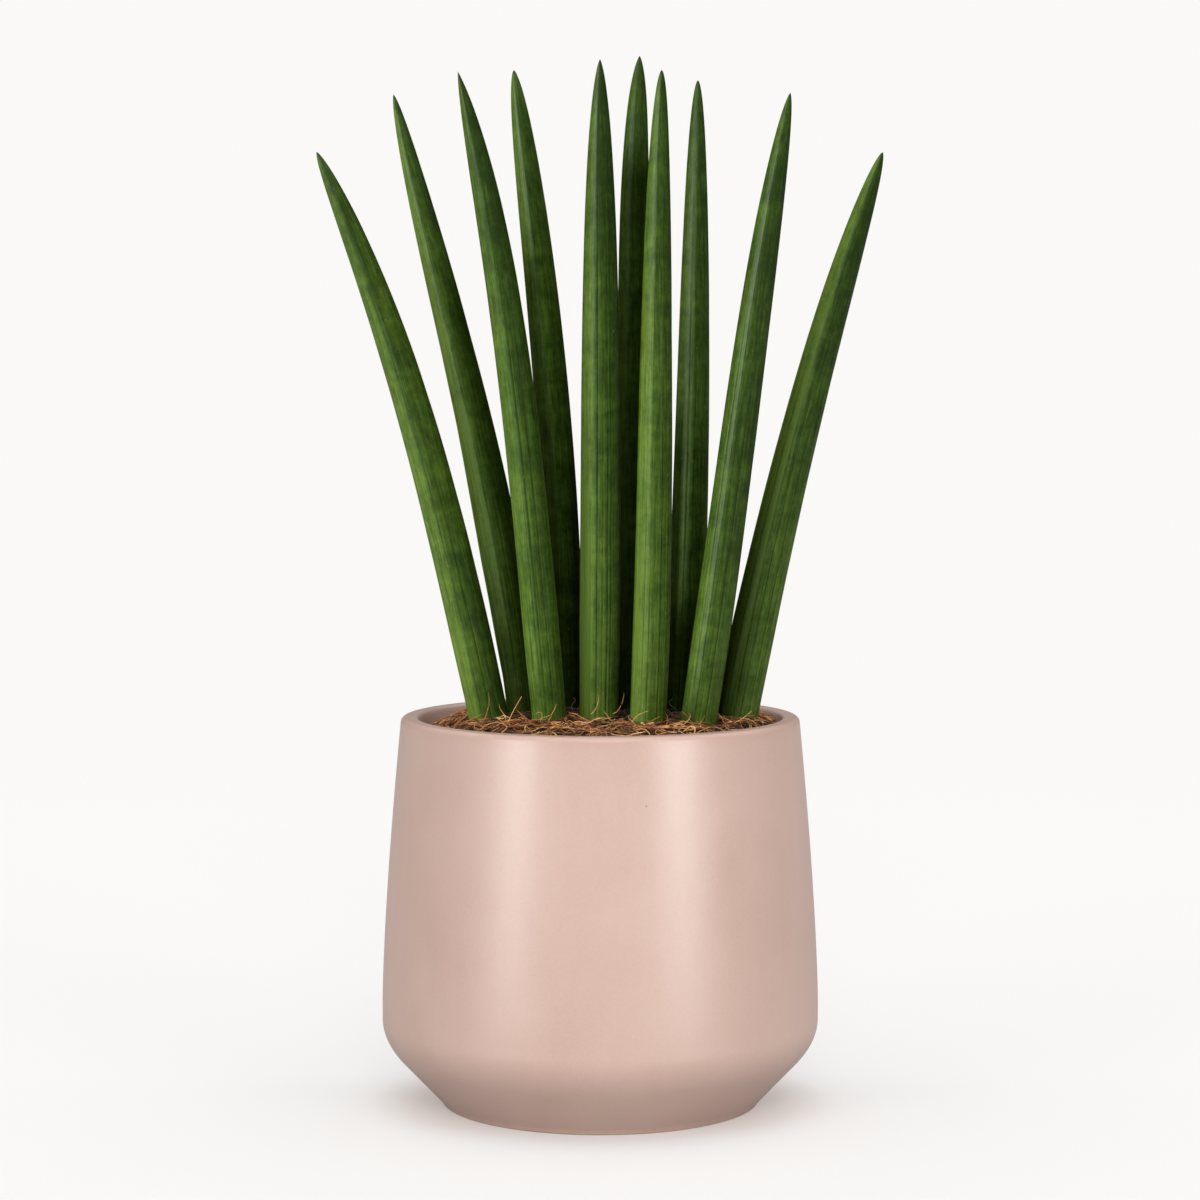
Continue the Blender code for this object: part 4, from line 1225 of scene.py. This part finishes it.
def build_world():
    """A soft studio dome, brighter from above and in front."""
    world = bpy.data.worlds.new("studio")
    bpy.context.scene.world = world
    world.use_nodes = True
    tree = world.node_tree
    tree.nodes.clear()
    n = Nodes(tree)
    out = n.add("ShaderNodeOutputWorld")
    way = n.vmath("NORMALIZE", n.add("ShaderNodeTexCoord").outputs["Generated"])
    parts = n.add("ShaderNodeSeparateXYZ")
    n.plug(way, parts.inputs[0])
    x, y, z = parts.outputs
    azimuth = n.math("ARCTAN2", x, n.math("MULTIPLY", y, -1.0))
    height = n.math("ARCSINE", z)
    facing = n.math("MAXIMUM", n.math("COSINE", azimuth), 0.0)

    def step(lo, hi):
        return n.range(height, math.radians(lo), math.radians(hi), 0.0, 1.0, "SMOOTHSTEP")

    up = step(50.0, 72.0)
    light = n.math("MULTIPLY", up, n.math("ADD", SKY["top"], n.math("MULTIPLY", facing, SKY["top_front"])))
    ring = n.math("MULTIPLY", step(25.0, 45.0), n.math("SUBTRACT", 1.0, up))
    light = n.math("ADD", light, n.math("MULTIPLY", ring, SKY["ring"]))
    low = n.math("SUBTRACT", 1.0, step(20.0, 40.0))
    behind = n.range(n.math("COSINE", azimuth), -0.65, 0.0, SKY["behind"], 1.0, "SMOOTHSTEP")
    light = n.math("ADD", light, n.math("MULTIPLY", n.math("MULTIPLY", low, behind), SKY["low"]))
    lamp = n.add("ShaderNodeBackground")
    lamp.inputs["Color"].default_value = (*SKY_TINT, 1.0)
    n.plug(light, lamp.inputs["Strength"])
    plain = n.add("ShaderNodeBackground")
    plain.inputs["Color"].default_value = (*BACKDROP, 1.0)
    seen = n.add("ShaderNodeLightPath").outputs["Is Camera Ray"]
    join = n.add("ShaderNodeMixShader")
    n.plug(seen, join.inputs[0])
    n.plug(lamp.outputs[0], join.inputs[1])
    n.plug(plain.outputs[0], join.inputs[2])
    n.plug(join.outputs[0], out.inputs["Surface"])


def build_suns():
    """Large soft lamps far away, each lighting the pieces that it is for."""
    pieces = [obj for obj in bpy.context.scene.objects if obj.type == "MESH"]
    leaves = {obj.name for obj in pieces if obj.name.startswith("leaf_")}
    groups = {
        "leaves": [obj for obj in pieces if obj.name in leaves],
        "no leaves": [obj for obj in pieces if obj.name not in leaves],
        "ware": [obj for obj in pieces if obj.name not in leaves and obj.name != "floor"],
        "coir and floor": [obj for obj in pieces if obj.name not in leaves and obj.name != "glazed_pot"],
        "pot": [obj for obj in pieces if obj.name == "glazed_pot"],
    }
    made = {}
    for name, azimuth, height, wide, power, lit in SUNS:
        data = bpy.data.lights.new(name, "SUN")
        data.angle = math.radians(wide)
        data.energy = power
        data.color = SKY_TINT
        obj = bpy.data.objects.new(name, data)
        az, el = math.radians(azimuth), math.radians(height)
        toward = Vector((math.sin(az) * math.cos(el), -math.cos(az) * math.cos(el), math.sin(el)))
        obj.location = toward * 2.0
        obj.rotation_euler = toward.to_track_quat("Z", "Y").to_euler()
        bpy.context.scene.collection.objects.link(obj)
        if lit != "all":
            if lit not in made:
                made[lit] = bpy.data.collections.new("lit " + lit)
                for piece in groups[lit]:
                    made[lit].objects.link(piece)
            obj.light_linking.receiver_collection = made[lit]
        if lit == "pot":                             # reaches in past the leaves
            if "ware and floor" not in made:
                made["ware and floor"] = bpy.data.collections.new("all but the leaves")
                for piece in groups["no leaves"]:
                    made["ware and floor"].objects.link(piece)
            obj.light_linking.blocker_collection = made["ware and floor"]


def build_floor():
    """A pale sweep that turns into the plain backdrop away from the pot, with painted reddish bounce light beside the
    pot and a glow that lightens its shadow.
    """
    mat = bpy.data.materials.new("floor")
    mat.use_nodes = True
    tree = mat.node_tree
    tree.nodes.clear()
    n = Nodes(tree)
    out = n.add("ShaderNodeOutputMaterial")
    seen = n.add("ShaderNodeBsdfDiffuse")
    bounce = n.add("ShaderNodeBsdfDiffuse")
    bounce.inputs["Color"].default_value = (*FLOOR_BOUNCE, 1.0)
    glow = n.add("ShaderNodeEmission")
    glow.inputs["Color"].default_value = (*BACKDROP, 1.0)
    place = n.add("ShaderNodeTexCoord").outputs["Object"]
    away = n.vmath("LENGTH", place)
    # painted reddish bounce light beside the pot, less in front
    painted_bounce = n.range(away, 0.072, 0.108, 1.0, 0.0, "SMOOTHSTEP")
    parts = n.add("ShaderNodeSeparateXYZ")
    n.plug(place, parts.inputs[0])
    painted_bounce = n.math("MULTIPLY", painted_bounce, n.range(parts.outputs["Y"], -0.075, -0.045, 0.30, 1.0, "SMOOTHSTEP"))
    n.plug(n.mix(painted_bounce, FLOOR_SEEN, FLOOR_PAINTED_BOUNCE), seen.inputs["Color"])
    # painted light: the floor near and behind the pot partly glows, lightening its shadow
    plain = n.range(parts.outputs["Y"], 0.0, 0.06, FLOOR_SHADOW_LIFT, 0.55, "SMOOTHSTEP")
    plain = n.math("MAXIMUM", plain, n.range(away, 0.55, 1.5, FLOOR_SHADOW_LIFT, 1.0, "SMOOTHSTEP"))
    near = n.add("ShaderNodeMixShader")
    n.plug(plain, near.inputs[0])
    n.plug(seen.outputs[0], near.inputs[1])
    n.plug(glow.outputs[0], near.inputs[2])
    join = n.add("ShaderNodeMixShader")
    n.plug(n.add("ShaderNodeLightPath").outputs["Is Camera Ray"], join.inputs[0])
    n.plug(bounce.outputs[0], join.inputs[1])
    n.plug(near.outputs[0], join.inputs[2])
    n.plug(join.outputs[0], out.inputs["Surface"])
    t = np.linspace(0, 2 * math.pi, 96, endpoint=False)
    points = np.stack([60000 * np.cos(t), 60000 * np.sin(t), np.zeros(96)], -1)
    floor = make_object("floor", points, [list(range(96))], (mat,), smooth=False)


def main():
    scene = bpy.context.scene
    scene.view_settings.view_transform = "Standard"
    scene.view_settings.look = "None"
    build_camera()
    build_world()
    build_floor()
    build_pot()
    for name in LEAVES:
        build_leaf(name)
    build_coir()
    for node, mat in (("potting_mix", mix_material()), ("rhizome", rhizome_material())):
        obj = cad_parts[node]
        obj.data.materials.clear()
        obj.data.materials.append(mat)
    build_suns()


main()
bpy.context.view_layer.update()
